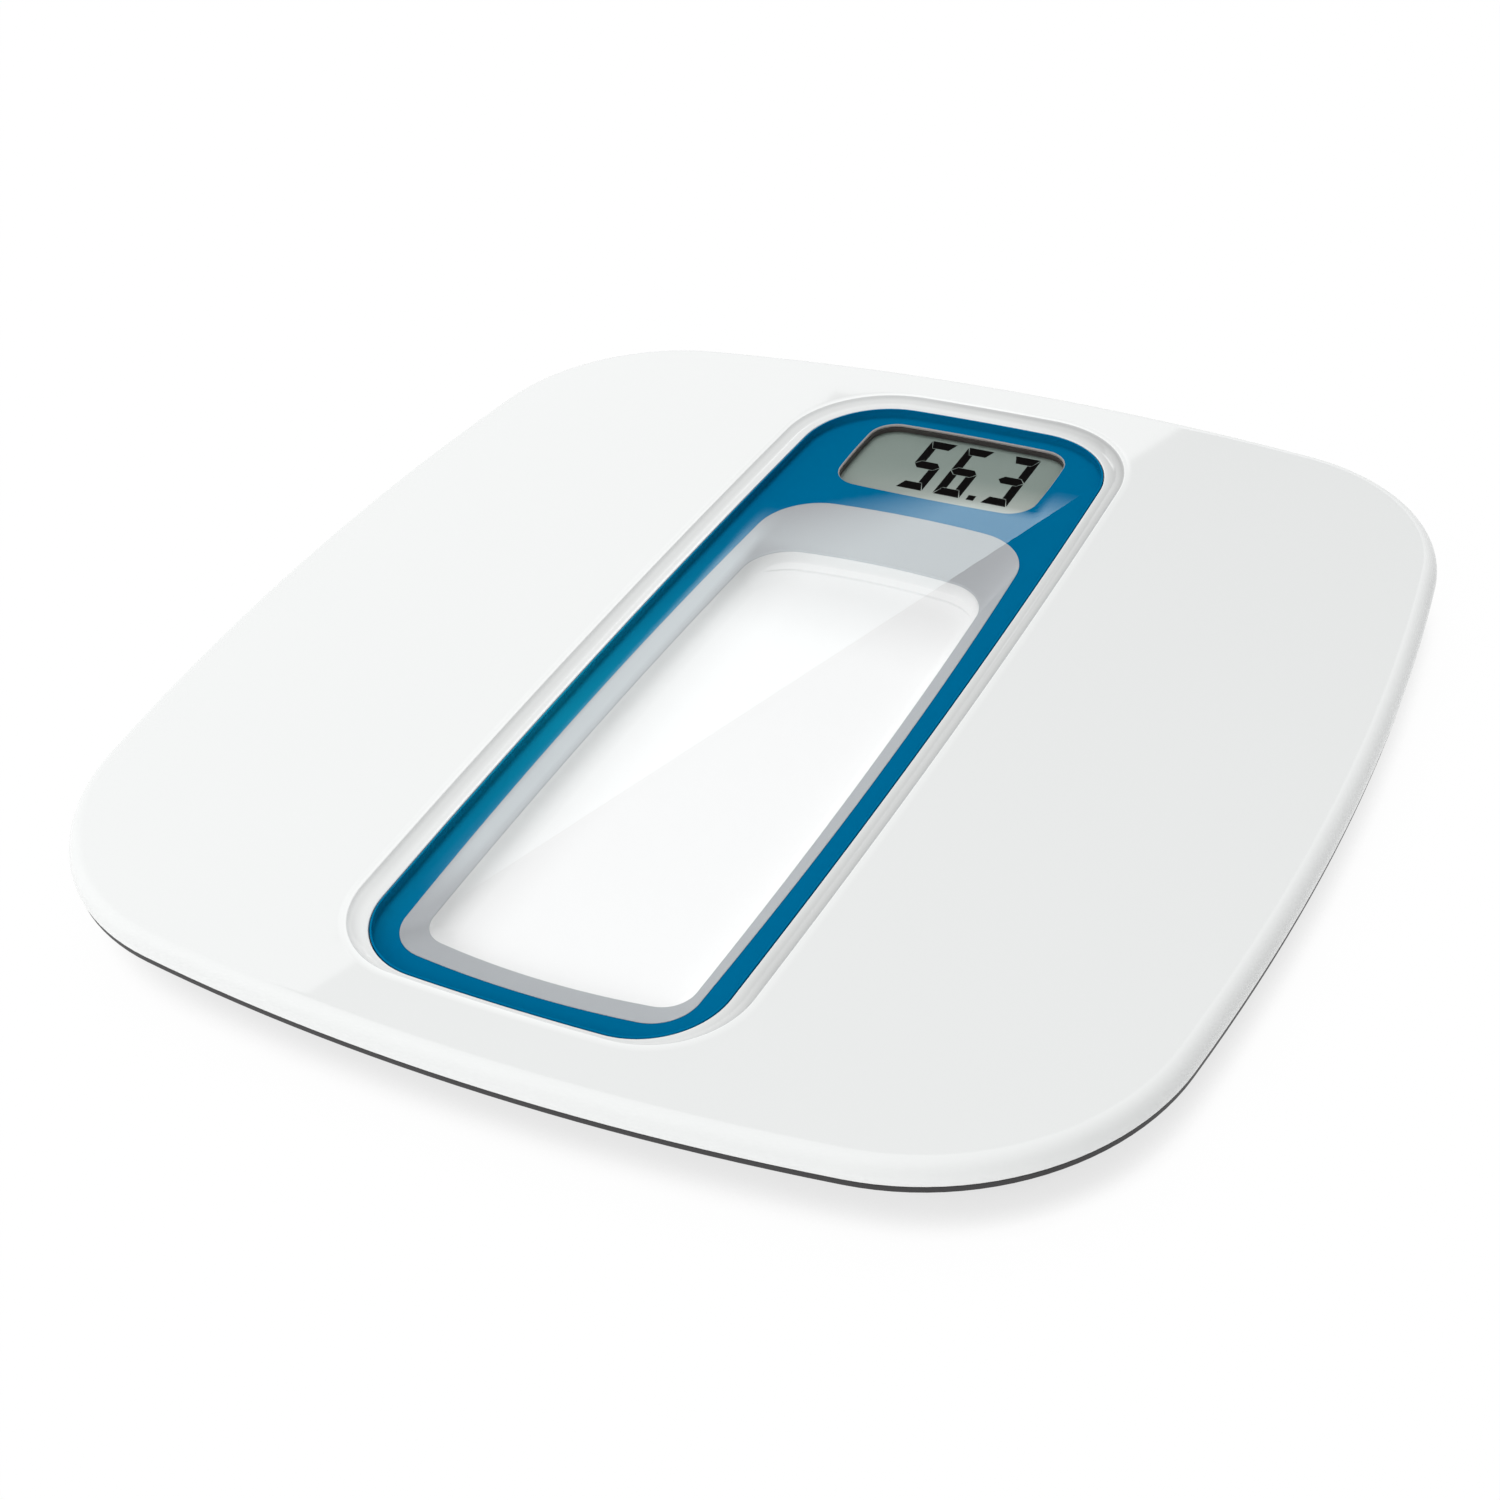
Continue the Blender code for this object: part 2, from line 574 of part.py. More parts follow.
def rib_pocket_cutter():
    """Square pockets between the ribs, inside the walls of the ribbed block and round the strip."""
    half = (RIB_PITCH - RIB_WALL) / 2
    columns = math.ceil(PLATFORM_WIDTH / 2 / RIB_PITCH)
    rows = math.ceil(PLATFORM_DEPTH / 2 / RIB_PITCH)
    mesh = bmesh.new()
    for column in range(-columns, columns + 1):
        for row in range(-rows, rows + 1):
            x = column * RIB_PITCH
            y = row * RIB_PITCH
            square = rectangle(x - half, x + half, y - half, y + half)
            lower = [mesh.verts.new(point) for point in at(square, BASE_FLOOR)]
            upper = [mesh.verts.new(point) for point in at(square, SKIN_UNDER)]
            mesh.faces.new(list(reversed(lower)))
            mesh.faces.new(upper)
            for i in range(4):
                j = (i + 1) % 4
                mesh.faces.new((lower[i], lower[j], upper[j], upper[i]))
    pockets = solid("rib_pockets", mesh, WHITE)
    field = PLATFORM_PLAN.grown(-BLOCK_INSET - RIB_WALL).points(COARSE_STEPS, COARSE_STEPS)
    combine(pockets, plate("rib_field", field, BASE_UNDER, TOP, WHITE), "INTERSECT")
    frame = STRIP_PLAN.grown(FIT + STRIP_WALL).points()
    cut(pockets, plate("strip_frame", frame, BASE_UNDER, TOP, WHITE))
    return pockets


def build_platform():
    """White top moulding: bullnose rim, ribbed skin, moat and seat for the display strip, screw bosses."""
    rings = [
        platform_ring(BLOCK_INSET, RIB_UNDER), platform_ring(BLOCK_INSET, SKIN_UNDER),
        platform_ring(RIM_INNER, SKIN_UNDER), platform_ring(RIM_INNER, RIM_UNDER),
    ]
    widest = TOP - RIM_ROUND_DROP
    for step in range(TUCK_STEPS, 0, -1):
        turn = math.pi / 2 * step / TUCK_STEPS
        z = widest + (RIM_UNDER - widest) * math.sin(turn)
        rings.append(platform_ring(RIM_TUCK * (1 - math.cos(turn)), z))
    for step in range(RIM_STEPS + 1):
        turn = math.pi / 2 * step / RIM_STEPS
        z = widest + RIM_ROUND_DROP * math.sin(turn)
        rings.append(platform_ring(RIM_ROUND * (1 - math.cos(turn)), z))
    shell = loft("platform_shell", rings, WHITE)
    cut(shell, rib_pocket_cutter())
    for x, y in FEET.values():
        bay = [(CARRIER_RADIUS + FIT, BASE_FLOOR), (CARRIER_RADIUS + FIT, SKIN_UNDER)]
        cut(shell, turned("foot_bay", bay, WHITE, (x, y, 0)))
    for x, y in SCREWS:
        boss = [(BOSS_RADIUS, POST_TOP + FIT), (BOSS_RADIUS, SKIN_UNDER + SKIN / 2)]
        join(shell, turned("boss", boss, WHITE, (x, y, 0), SMALL_STEPS))
        pilot = [(SCREW_SHANK + FIT, POST_TOP), (SCREW_SHANK + FIT, SKIN_UNDER)]
        cut(shell, turned("pilot", pilot, WHITE, (x, y, 0), SMALL_STEPS))
    cut(shell, moat_cutter())
    rooms = [
        ("strip_opening", STRIP_PLAN.grown(-STRIP_LEDGE).points(), LEDGE_TOP + FIT),
        ("ledge_room", STRIP_PLAN.grown(FIT).points(), LEDGE_TOP - STRIP_LEDGE_THICKNESS),
        ("display_room", HOLDER_PLAN.grown(FIT).points(), LEDGE_TOP + FIT),
        ("board_room", board_outline(FIT), BOARD_TOP + FIT),
        ("battery_room", bay_outline(FIT), BAY_TOP + FIT),
    ]
    for name, points, top in rooms:
        cut(shell, plate(name, points, BASE_FLOOR, top, WHITE))


def build_strip():
    """Blue dish, clear lens, silver band and white well, stacked in the platform's pocket."""
    outer = STRIP_PLAN.points()
    inner = STRIP_PLAN.grown(-SURROUND_WALL).points()
    surround = loft("blue_surround", [
        at(inner, SURROUND_TOP), at(inner, STRIP_TOP), at(outer, STRIP_TOP), at(outer, SURROUND_UNDER),
    ], BLUE)
    for name, plan in (("display_window", DISPLAY_PLAN), ("well_window", BAND_PLAN)):
        cut(surround, plate(name, plan.points(), SURROUND_UNDER - SKIN, STRIP_TOP, BLUE))
    lens = STRIP_PLAN.grown(-SURROUND_WALL - FIT).points()
    plate("window_lens", lens, LENS_UNDER, STRIP_TOP, CLEAR)

    lap = BAND_PLAN.grown(BAND_LAP).points()
    edge = BAND_PLAN.points()
    mouth = WELL_PLAN.points()
    loft("silver_band", [
        at(lap, BAND_TOP), at(edge, BAND_TOP), at(mouth, BAND_LIP),
        at(mouth, BAND_LIP - BAND_THICKNESS / 2), at(edge, BAND_TOP - BAND_THICKNESS),
        at(lap, BAND_TOP - BAND_THICKNESS),
    ], SILVER, shut=True)

    flange = BAND_TOP - BAND_THICKNESS - FIT
    throat = BAND_LIP - BAND_THICKNESS / 2 - FIT
    foot = WELL_FLOOR_PLAN.points()
    heel = WELL_FLOOR_PLAN.grown(-WELL_ROUND).points()
    foot_out = WELL_FLOOR_PLAN.grown(TRAY_WALL).points()
    mouth_out = WELL_PLAN.grown(TRAY_WALL).points()
    loft("display_well", [
        at(heel, WELL_FLOOR), at(foot, WELL_FLOOR + WELL_ROUND), at(mouth, throat), at(edge, flange),
        at(lap, flange), at(lap, flange - TRAY_WALL), at(edge, flange - TRAY_WALL),
        at(mouth_out, throat - TRAY_WALL), at(foot_out, WELL_FLOOR + WELL_ROUND),
        at(foot, WELL_FLOOR - TRAY_WALL),
    ], WHITE)


def build_display():
    """Display module under the back opening of the surround, and what sits on its circuit board."""
    plate("display_glass", GLASS_PLAN.points(COARSE_STEPS), GLASS_UNDER, GLASS_TOP, DISPLAY_GREEN)
    holder_top = SURROUND_UNDER - FIT
    holder_under = BOARD_TOP + FIT
    holder = plate("display_holder", HOLDER_PLAN.points(COARSE_STEPS), holder_under, holder_top, BLACK)
    pocket = GLASS_PLAN.grown(FIT).points(COARSE_STEPS)
    cut(holder, plate("glass_pocket", pocket, holder_under - FIT, GLASS_TOP + FIT, BLACK))
    cut(holder, plate("sight", DISPLAY_PLAN.points(), holder_under, holder_top + FIT, BLACK))

    strip_reach = DISPLAY_WIDTH / 2 - DISPLAY_CORNER
    strip_offset = DISPLAY_DEPTH / 2 - CONNECTOR_STRIP_WIDTH
    for name, side in (("front", -1), ("back", 1)):
        y = DISPLAY_Y + side * strip_offset
        half = CONNECTOR_STRIP_WIDTH / 2
        strip = rectangle(-strip_reach, strip_reach, y - half, y + half)
        plate(f"rubber_connector_{name}", strip, BOARD_TOP + FIT, GLASS_UNDER - FIT, RUBBER)

    plate("circuit_board", board_outline(), BOARD_UNDER, BOARD_TOP, BOARD_GREEN)
    under = BOARD_UNDER - FIT
    dome = arc((0, 0), 1, -math.pi / 3, 0, RIM_STEPS)
    chip = [(CHIP_RADIUS * across, CHIP_HEIGHT * down) for across, down in dome]
    turned("controller_blob", chip, BLACK, (-BUTTON_X, DISPLAY_Y, under), SMALL_STEPS)
    for name, side in (("left", -1), ("right", 1)):
        x = side * (BOARD_WIDTH - SOCKET_WIDTH) / 2
        place = (x, DISPLAY_Y)
        block = rounded_rectangle(SOCKET_WIDTH, SOCKET_DEPTH, SOCKET_CORNER, FINE_CORNER_STEPS, place)
        plate(f"lead_socket_{name}", block, under - SOCKET_HEIGHT, under, NATURAL)

    switch_under = under - SWITCH_HEIGHT
    nub_under = switch_under - SWITCH_NUB_HEIGHT
    place = (BUTTON_X, DISPLAY_Y)
    body = rounded_rectangle(SWITCH_SIZE, SWITCH_SIZE, SWITCH_CORNER, FINE_CORNER_STEPS, place)
    switch = plate("unit_switch", body, switch_under, under, STEEL)
    nub = [(SWITCH_NUB, nub_under), (SWITCH_NUB, switch_under + FIT)]
    join(switch, turned("nub", nub, STEEL, (BUTTON_X, DISPLAY_Y, 0), SMALL_STEPS))

    tip = nub_under - BUTTON_TRAVEL - SWITCH_CLEARANCE
    flange = BASE_FLOOR + FIT
    turned("unit_button", [
        (BUTTON_RADIUS, BASE_UNDER + BUTTON_RECESS), (BUTTON_RADIUS, flange), (BUTTON_FLANGE, flange),
        (BUTTON_FLANGE, flange + BUTTON_FLANGE_THICKNESS), (SWITCH_NUB, flange + BUTTON_FLANGE_THICKNESS),
        (SWITCH_NUB, tip),
    ], NATURAL, (BUTTON_X, DISPLAY_Y, 0), ROUND_STEPS)


def build_feet():
    """A rubber pad in a cup that is captive in its carrier and bears on the tongue of a load cell."""
    rim = PAD_THICKNESS - PAD_SUNK
    seat = PAD_THICKNESS + FIT
    dish = seat + CUP_FLOOR
    hollow = CUP_RADIUS - CUP_WALL
    pad = turned("foot_pad", [
        (PAD_RADIUS - PAD_EDGE, 0), (PAD_RADIUS, PAD_EDGE), (PAD_RADIUS, PAD_THICKNESS),
    ], RUBBER)
    cup = turned("foot_cup", [
        (PAD_RADIUS + FIT, seat), (PAD_RADIUS + FIT, rim), (CUP_RADIUS, rim),
        (CUP_RADIUS, CUP_FLANGE_UNDER), (CUP_FLANGE_RADIUS, CUP_FLANGE_UNDER),
        (CUP_FLANGE_RADIUS, CUP_FLANGE_TOP),
        (hollow, CUP_FLANGE_TOP), (hollow, dish), (CUP_BUTTON, dish), (CUP_BUTTON, CELL_UNDER - FIT),
    ], DARK)

    square = rounded_rectangle(CELL_SIZE, CELL_SIZE, CELL_CORNER)
    cell = plate("load_cell", square, CELL_UNDER, CELL_TOP, STEEL)
    x = CELL_TONGUE_WIDTH / 2
    y = CELL_TONGUE_LENGTH / 2
    slot = [(x, y), (x, -y), (-x, -y), (-x, y), (-x - CELL_SLOT, y), (-x - CELL_SLOT, -y - CELL_SLOT),
            (x + CELL_SLOT, -y - CELL_SLOT), (x + CELL_SLOT, y)]
    cut(cell, plate("tongue_slot", slot, CELL_UNDER - FIT, CELL_TOP + FIT, STEEL))

    lip_top = BASE_UNDER + CARRIER_LIP
    carrier = turned("load_cell_carrier", [
        (CARRIER_RELIEF, WEB_UNDER), (CARRIER_BORE, WEB_UNDER), (CARRIER_BORE, lip_top),
        (CUP_RADIUS + FIT, lip_top), (CUP_RADIUS + FIT, BASE_UNDER), (CARRIER_RADIUS, BASE_UNDER),
        (CARRIER_RADIUS, SKIN_UNDER - FIT), (CARRIER_BORE, SKIN_UNDER - FIT),
        (CARRIER_BORE, WEB_UNDER + CARRIER_WEB), (CARRIER_RELIEF, WEB_UNDER + CARRIER_WEB),
    ], WHITE, shut=True)
    gap = rectangle(CUP_RADIUS, CARRIER_RADIUS + FIT, -LEAD_SLOT / 2, LEAD_SLOT / 2)
    gap_under = (CELL_UNDER + CELL_TOP - LEAD_SLOT) / 2
    cut(carrier, plate("lead_gap", gap, gap_under, WEB_UNDER + FIT, WHITE))

    for corner, (x, y) in FEET.items():
        inward = math.pi if x > 0 else 0
        for original in (pad, cup, cell):
            repeat(original, f"{original.name}_{corner}", (x, y, 0))
        repeat(carrier, f"load_cell_carrier_{corner}", (x, y, 0), inward)
    for original in (pad, cup, cell, carrier):
        bpy.data.objects.remove(original)


def build_leads():
    """Load-cell and battery leads, lying in the plinth beside the well, to the sockets on the board."""
    mid_cell = (CELL_UNDER + CELL_TOP) / 2
    socket_z = BOARD_UNDER - FIT - SOCKET_HEIGHT / 2
    lane = STRIP_WIDTH / 2 + STRIP_WALL + LEAD_LANE
    socket_x = BOARD_WIDTH / 2 + FIT
    straight_x = socket_x + LEAD_LANE
    for corner, (x, y) in FEET.items():
        side = 1 if x > 0 else -1
        start = x - side * (CELL_SIZE / 2 + FIT)
        leaves = x - side * (CARRIER_RADIUS + LEAD_RADIUS)
        route = [(start, y, mid_cell), (leaves, y, mid_cell)]
        if y > 0:
            end_y = DISPLAY_Y + SOCKET_PITCH
        else:
            end_y = DISPLAY_Y - SOCKET_PITCH
            turns = (y + LEAD_SWEEP, 0, DISPLAY_Y - LEAD_SWEEP)
            route += [(side * lane, turn, socket_z) for turn in turns]
        route += [(side * straight_x, end_y, socket_z), (side * socket_x, end_y, socket_z)]
        wire(f"load_cell_lead_{corner}", route, LEAD_RADIUS, CABLE)

    bay_side = DOOR_LEFT - BAY_WALL - FIT
    outer_lane = lane + 4 * LEAD_RADIUS
    wire("battery_lead", [
        (bay_side, BATTERY_Y, BATTERY_TOP), (bay_side - LEAD_RADIUS, BATTERY_Y, BATTERY_TOP),
        (outer_lane, BATTERY_Y + LEAD_SWEEP / 2, socket_z),
        (outer_lane, DISPLAY_Y - LEAD_SWEEP + SOCKET_PITCH, socket_z),
        (straight_x, DISPLAY_Y, socket_z), (socket_x, DISPLAY_Y, socket_z),
    ], LEAD_RADIUS, CABLE)


def build_base():
    """Dark plinth: a flanged tray with holes for the feet, a battery bay and posts for the screws."""
    flange = RIM_INNER + FIT
    lip_top = RIM_UNDER - FIT
    lip_under = lip_top - BASE_LIP
    section = [
        (BASE_INNER, BASE_FLOOR), (BASE_INNER, FLANGE_TOP), (flange, FLANGE_TOP), (flange, lip_top),
        (RIM_TUCK, lip_top), (RIM_TUCK, lip_under), (BASE_INSET, lip_under),
        (BASE_INSET, BASE_UNDER + BASE_EDGE), (BASE_INSET + BASE_EDGE, BASE_UNDER),
    ]
    base = loft("base_cover", [platform_ring(inset, z) for inset, z in section], DARK)
    for x, y in FEET.values():
        hole = [(CARRIER_RADIUS + FIT, BASE_UNDER - FIT), (CARRIER_RADIUS + FIT, BASE_FLOOR + FIT)]
        cut(base, turned("foot_hole", hole, DARK, (x, y, 0)))
    for x, y in SCREWS:
        post = [(POST_RADIUS, BASE_UNDER + BASE_WALL / 2), (POST_RADIUS, POST_TOP)]
        join(base, turned("post", post, DARK, (x, y, 0), SMALL_STEPS))
        seat = BASE_UNDER + SCREW_SEAT
        bore = [(SCREW_HEAD + FIT, BASE_UNDER - FIT), (SCREW_HEAD + FIT, seat),
                (SCREW_SHANK + FIT, seat), (SCREW_SHANK + FIT, POST_TOP + FIT)]
        cut(base, turned("screw_bore", bore, DARK, (x, y, 0), SMALL_STEPS))
    hole = [(BUTTON_RADIUS + FIT, BASE_UNDER - FIT), (BUTTON_RADIUS + FIT, BASE_FLOOR + FIT)]
    cut(base, turned("button_hole", hole, DARK, (BUTTON_X, DISPLAY_Y, 0)))

    mid_floor = BASE_UNDER + BASE_WALL / 2
    join(base, plate("bay", bay_outline(), mid_floor, BAY_TOP, DARK))
    cut(base, plate("door_opening", door_outline(FIT), BASE_UNDER - FIT, BASE_FLOOR + FIT, DARK))
    pocket = [(COIN_RADIUS + FIT, BASE_UNDER), (COIN_RADIUS + FIT, BAY_ROOF)]
    cut(base, turned("coin_pocket", pocket, DARK, (*BAY_PLACE, 0)))
    half = CONTACT_WIDTH / 2 + FIT
    slot = rectangle(BATTERY_X, CONTACT_X + CONTACT_THICKNESS + FIT, BATTERY_Y - half, BATTERY_Y + half)
    cut(base, plate("contact_slot", slot, mid_floor, BATTERY_TOP + FIT, DARK))
    half = DOOR_TAB_WIDTH / 2 + FIT
    sweep = DOOR_TAB_REACH + BASE_WALL + DOOR_TAB_THICKNESS
    for y in DOOR_HOOKS:
        room = rectangle(DOOR_LEFT - DOOR_TAB_REACH - 2 * FIT, DOOR_LEFT + BAY_WALL, y - half, y + half)
        cut(base, plate("tab_room", room, BASE_FLOOR, BASE_FLOOR + sweep, DARK))


def build_battery():
    """Coin cell, its two contacts, and the door that hooks into the plinth along its left edge."""
    face = COIN_RADIUS - COIN_EDGE
    turned("coin_cell", [
        (face, BATTERY_UNDER), (COIN_RADIUS, BATTERY_UNDER + COIN_EDGE),
        (COIN_RADIUS, BATTERY_TOP - COIN_EDGE), (face, BATTERY_TOP),
    ], STEEL, (*BAY_PLACE, 0))
    leaf = rounded_rectangle(CONTACT_LENGTH, CONTACT_WIDTH, CONTACT_WIDTH / 4, FINE_CORNER_STEPS, BAY_PLACE)
    leaf_under = BATTERY_TOP + FIT
    plate("battery_contact_negative", leaf, leaf_under, leaf_under + CONTACT_THICKNESS, STEEL)
    half = CONTACT_WIDTH / 2
    blade = rectangle(CONTACT_X, CONTACT_X + CONTACT_THICKNESS, BATTERY_Y - half, BATTERY_Y + half)
    plate("battery_contact_positive", blade, BATTERY_UNDER, BATTERY_TOP, STEEL)

    radius = DOOR_THICKNESS / 2
    hinge = DOOR_LEFT + radius
    far = DOOR_LENGTH - radius
    section = arc((0, 0), radius, math.pi / 2, 3 * math.pi / 2, COARSE_STEPS)
    section += [(far, -radius), (far, radius)]
    rings = [[(x, y, z) for x, z in section] for y in (-DOOR_WIDTH / 2, DOOR_WIDTH / 2)]
    door = loft("battery_door", rings, DARK, (hinge, BATTERY_Y, BASE_UNDER + radius))
    combine(door, plate("door_corners", door_outline(), 0, BASE_FLOOR, DARK), "INTERSECT")
    tab_under = BASE_FLOOR + FIT
    tab_top = tab_under + DOOR_TAB_THICKNESS
    for y in DOOR_HOOKS:
        front = y - DOOR_TAB_WIDTH / 2
        back = y + DOOR_TAB_WIDTH / 2
        riser = rectangle(DOOR_LEFT + FIT, hinge + radius, front, back)
        join(door, plate("riser", riser, BASE_UNDER + radius, tab_top, DARK))
        hook = rectangle(DOOR_LEFT - DOOR_TAB_REACH, hinge, front, back)
        join(door, plate("hook", hook, tab_under, tab_top, DARK))
    scoop = [(DOOR_SCOOP, -radius), (DOOR_SCOOP, radius)]
    scoop_place = (DOOR_RIGHT + DOOR_SCOOP / 2, BATTERY_Y, BASE_UNDER)
    cut(door, turned("scoop", scoop, DARK, scoop_place))


def build_screws():
    """Pan-head screws through the plinth's posts into the platform's bosses."""
    head_top = BASE_UNDER + SCREW_SEAT - FIT
    head_under = head_top - SCREW_HEAD_HEIGHT
    crown = SCREW_HEAD_HEIGHT / 3
    for number, (x, y) in enumerate(SCREWS, 1):
        turned(f"cover_screw_{number}", [
            (SCREW_HEAD - crown, head_under), (SCREW_HEAD, head_under + crown), (SCREW_HEAD, head_top),
            (SCREW_SHANK, head_top), (SCREW_SHANK, head_top + SCREW_LENGTH),
        ], STEEL, (x, y, 0), SMALL_STEPS)


build_platform()
build_strip()
build_display()
build_base()
build_battery()
build_feet()
build_leads()
build_screws()

for thing in bpy.data.objects:
    if thing.type == "MESH":
        thing.data.shade_smooth()
        thing.data.set_sharp_from_angle(angle=EDGE_TURN)
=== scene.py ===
import math

import bmesh
import bpy
from mathutils import Matrix, Vector


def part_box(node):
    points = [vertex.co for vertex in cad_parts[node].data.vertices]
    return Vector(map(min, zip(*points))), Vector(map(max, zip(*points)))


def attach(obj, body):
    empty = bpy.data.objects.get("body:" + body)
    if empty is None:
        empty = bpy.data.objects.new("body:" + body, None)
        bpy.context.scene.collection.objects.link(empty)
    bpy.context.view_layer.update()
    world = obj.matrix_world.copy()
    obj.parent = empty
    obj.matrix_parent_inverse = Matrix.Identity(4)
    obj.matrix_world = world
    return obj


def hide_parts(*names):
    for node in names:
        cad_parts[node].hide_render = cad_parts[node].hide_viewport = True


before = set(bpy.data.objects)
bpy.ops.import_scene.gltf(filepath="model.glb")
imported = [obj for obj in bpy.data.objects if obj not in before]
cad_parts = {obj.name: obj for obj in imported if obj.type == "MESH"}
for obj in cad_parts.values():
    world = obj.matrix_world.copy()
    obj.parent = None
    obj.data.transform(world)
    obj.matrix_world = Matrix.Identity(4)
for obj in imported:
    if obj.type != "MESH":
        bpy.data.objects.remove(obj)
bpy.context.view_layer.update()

MM = 0.001


# Platform shell: the white top that is stood on. One injection moulding in glossy ABS with a bullnose rim,
# a shallow soft-edged moat and a stepped seat for the display strip; the plinth is screwed up into it.
FIT = 0.3 * MM
CORNER_STEPS = 24
LONG_STEPS = 24
SMOOTH_ANGLE = math.radians(32)
platform_low, platform_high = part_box("platform_shell")
strip_low, strip_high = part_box("blue_surround")
TOP = platform_high.z
STRIP_TOP = strip_high.z
LEDGE_TOP = strip_low.z - FIT
SKIN_UNDER = TOP - 2.5 * MM
RIB_UNDER = SKIN_UNDER - 7.5 * MM
RIM_UNDER = TOP - 5.9 * MM


def arc(centre, radius, start, end, steps):
    """Points on an arc in plan, both ends included."""
    turns = [start + (end - start) * i / steps for i in range(steps + 1)]
    return [(centre[0] + radius * math.cos(t), centre[1] + radius * math.sin(t)) for t in turns]


def outline(half_width, front, back, side_bulge, end_bulge, corner_front, corner_back, grow=0.0):
    """Plan with bulged sides and ends and round corners, anticlockwise from the middle of the front."""
    side_radius = ((back - front) ** 2 / 4 + side_bulge ** 2) / (2 * side_bulge) + grow
    end_radius = (half_width ** 2 + end_bulge ** 2) / (2 * end_bulge) + grow
    side = Vector((half_width + grow - side_radius, (front + back) / 2))

    def corner(end, sign, radius):
        tip = Vector((0, end + sign * (grow - end_radius)))
        line = tip - side
        reach = side_radius - radius
        along = (reach ** 2 - (end_radius - radius) ** 2 + line.length_squared) / (2 * line.length)
        across = math.sqrt(reach ** 2 - along ** 2)
        line.normalize()
        middle = side + sign * across * Vector((-line.y, line.x)) + along * line
        by_side = math.atan2(middle.y - side.y, middle.x - side.x)
        return middle, tip, by_side, math.atan2(middle.y - tip.y, middle.x)

    front_round = corner_front + grow
    back_round = corner_back + grow
    front_middle, front_tip, front_side, front_end = corner(front, -1, front_round)
    back_middle, back_tip, back_side, back_end = corner(back, 1, back_round)
    right = arc(front_tip, end_radius, -math.pi / 2, front_end, LONG_STEPS // 2)
    right += arc(front_middle, front_round, front_end, front_side, CORNER_STEPS)[1:]
    right += arc(side, side_radius, front_side, back_side, LONG_STEPS)[1:]
    right += arc(back_middle, back_round, back_side, back_end, CORNER_STEPS)[1:]
    right += arc(back_tip, end_radius, back_end, math.pi / 2, LONG_STEPS // 2)[1:]
    return right + [(-x, y) for x, y in reversed(right[1:-1])]


def lift(points, z):
    """Plan points at a height."""
    return [(x, y, z) for x, y in points]


def platform_ring(inset, z):
    """A ring parallel to the platform's widest outline."""
    return lift(outline(platform_high.x, platform_low.y, platform_high.y, side_bulge=17.9 * MM,
                        end_bulge=19.7 * MM, corner_front=69.5 * MM, corner_back=60.5 * MM, grow=-inset), z)


def strip_plan(grow):
    """The display strip's outline, or one parallel to it."""
    return outline(strip_high.x - 0.8 * MM, strip_low.y, strip_high.y - 2.2 * MM, side_bulge=2.9 * MM,
                   end_bulge=1.8 * MM, corner_front=22.5 * MM, corner_back=27 * MM, grow=grow)


def moat_plan(grow):
    """Where the moat's slope meets the flat of the platform."""
    return outline(strip_high.x + 5.6 * MM, strip_low.y - 2.8 * MM, strip_high.y + 4 * MM,
                   side_bulge=2.9 * MM, end_bulge=1.8 * MM, corner_front=26 * MM, corner_back=33.45 * MM,
                   grow=grow)


def stack(plan, *steps):
    """Rings of a plan, from how far each is grown and its height."""
    return [lift(plan(grow), z) for grow, z in steps]


def pick(*pieces):
    """Select pieces and nothing else, with the first one active."""
    bpy.ops.object.select_all(action="DESELECT")
    for piece in pieces:
        piece.select_set(True)
    bpy.context.view_layer.objects.active = pieces[0]


def skin(name, rings, ends="capped"):
    """Extrude a circle of edges from ring to ring. Its ends are capped, shut into a loop, or left open."""
    bpy.ops.object.select_all(action="DESELECT")
    fill = "NGON" if ends == "capped" else "NOTHING"
    bpy.ops.mesh.primitive_circle_add(vertices=len(rings[0]), radius=1, fill_type=fill)
    piece = bpy.context.object
    piece.name = piece.data.name = name
    bpy.ops.object.mode_set(mode="EDIT")
    mesh = bmesh.from_edit_mesh(piece.data)
    place = mesh.verts.layers.int.new("place")
    for number, vertex in enumerate(mesh.verts):
        vertex[place] = number
        vertex.co = rings[0][number]
    for ring in rings[1:]:
        bpy.ops.mesh.extrude_edges_indiv()
        mesh = bmesh.from_edit_mesh(piece.data)
        place = mesh.verts.layers.int["place"]
        for vertex in mesh.verts:
            if vertex.select:
                vertex.co = ring[vertex[place]]
    if ends == "capped":
        bpy.ops.mesh.edge_face_add()
    elif ends == "shut":
        bpy.ops.mesh.select_all(action="DESELECT")
        bpy.ops.mesh.select_non_manifold(extend=False)
        bpy.ops.mesh.bridge_edge_loops()
    bpy.ops.object.mode_set(mode="OBJECT")
    piece.data.attributes.remove(piece.data.attributes["place"])
    return polish(piece)


def polish(piece):
    """Point the faces out, and shade smooth where the surface is, with the flats kept flat."""
    pick(piece)
    bpy.ops.object.mode_set(mode="EDIT")
    bpy.ops.mesh.select_all(action="SELECT")
    bpy.ops.mesh.normals_make_consistent(inside=False)
    bpy.ops.object.mode_set(mode="OBJECT")
    bpy.ops.object.shade_smooth_by_angle(angle=SMOOTH_ANGLE)
    flats = piece.modifiers.new("true_flats", "WEIGHTED_NORMAL")
    flats.keep_sharp = True
    flats.weight = 100
    bpy.ops.object.modifier_apply(modifier=flats.name)
    return piece


def quarter(steps, start=0.0, end=math.pi / 2):
    """Sine and cosine of even steps through a turn."""
    turns = [start + (end - start) * i / steps for i in range(steps + 1)]
    return [(math.sin(t), math.cos(t)) for t in turns]


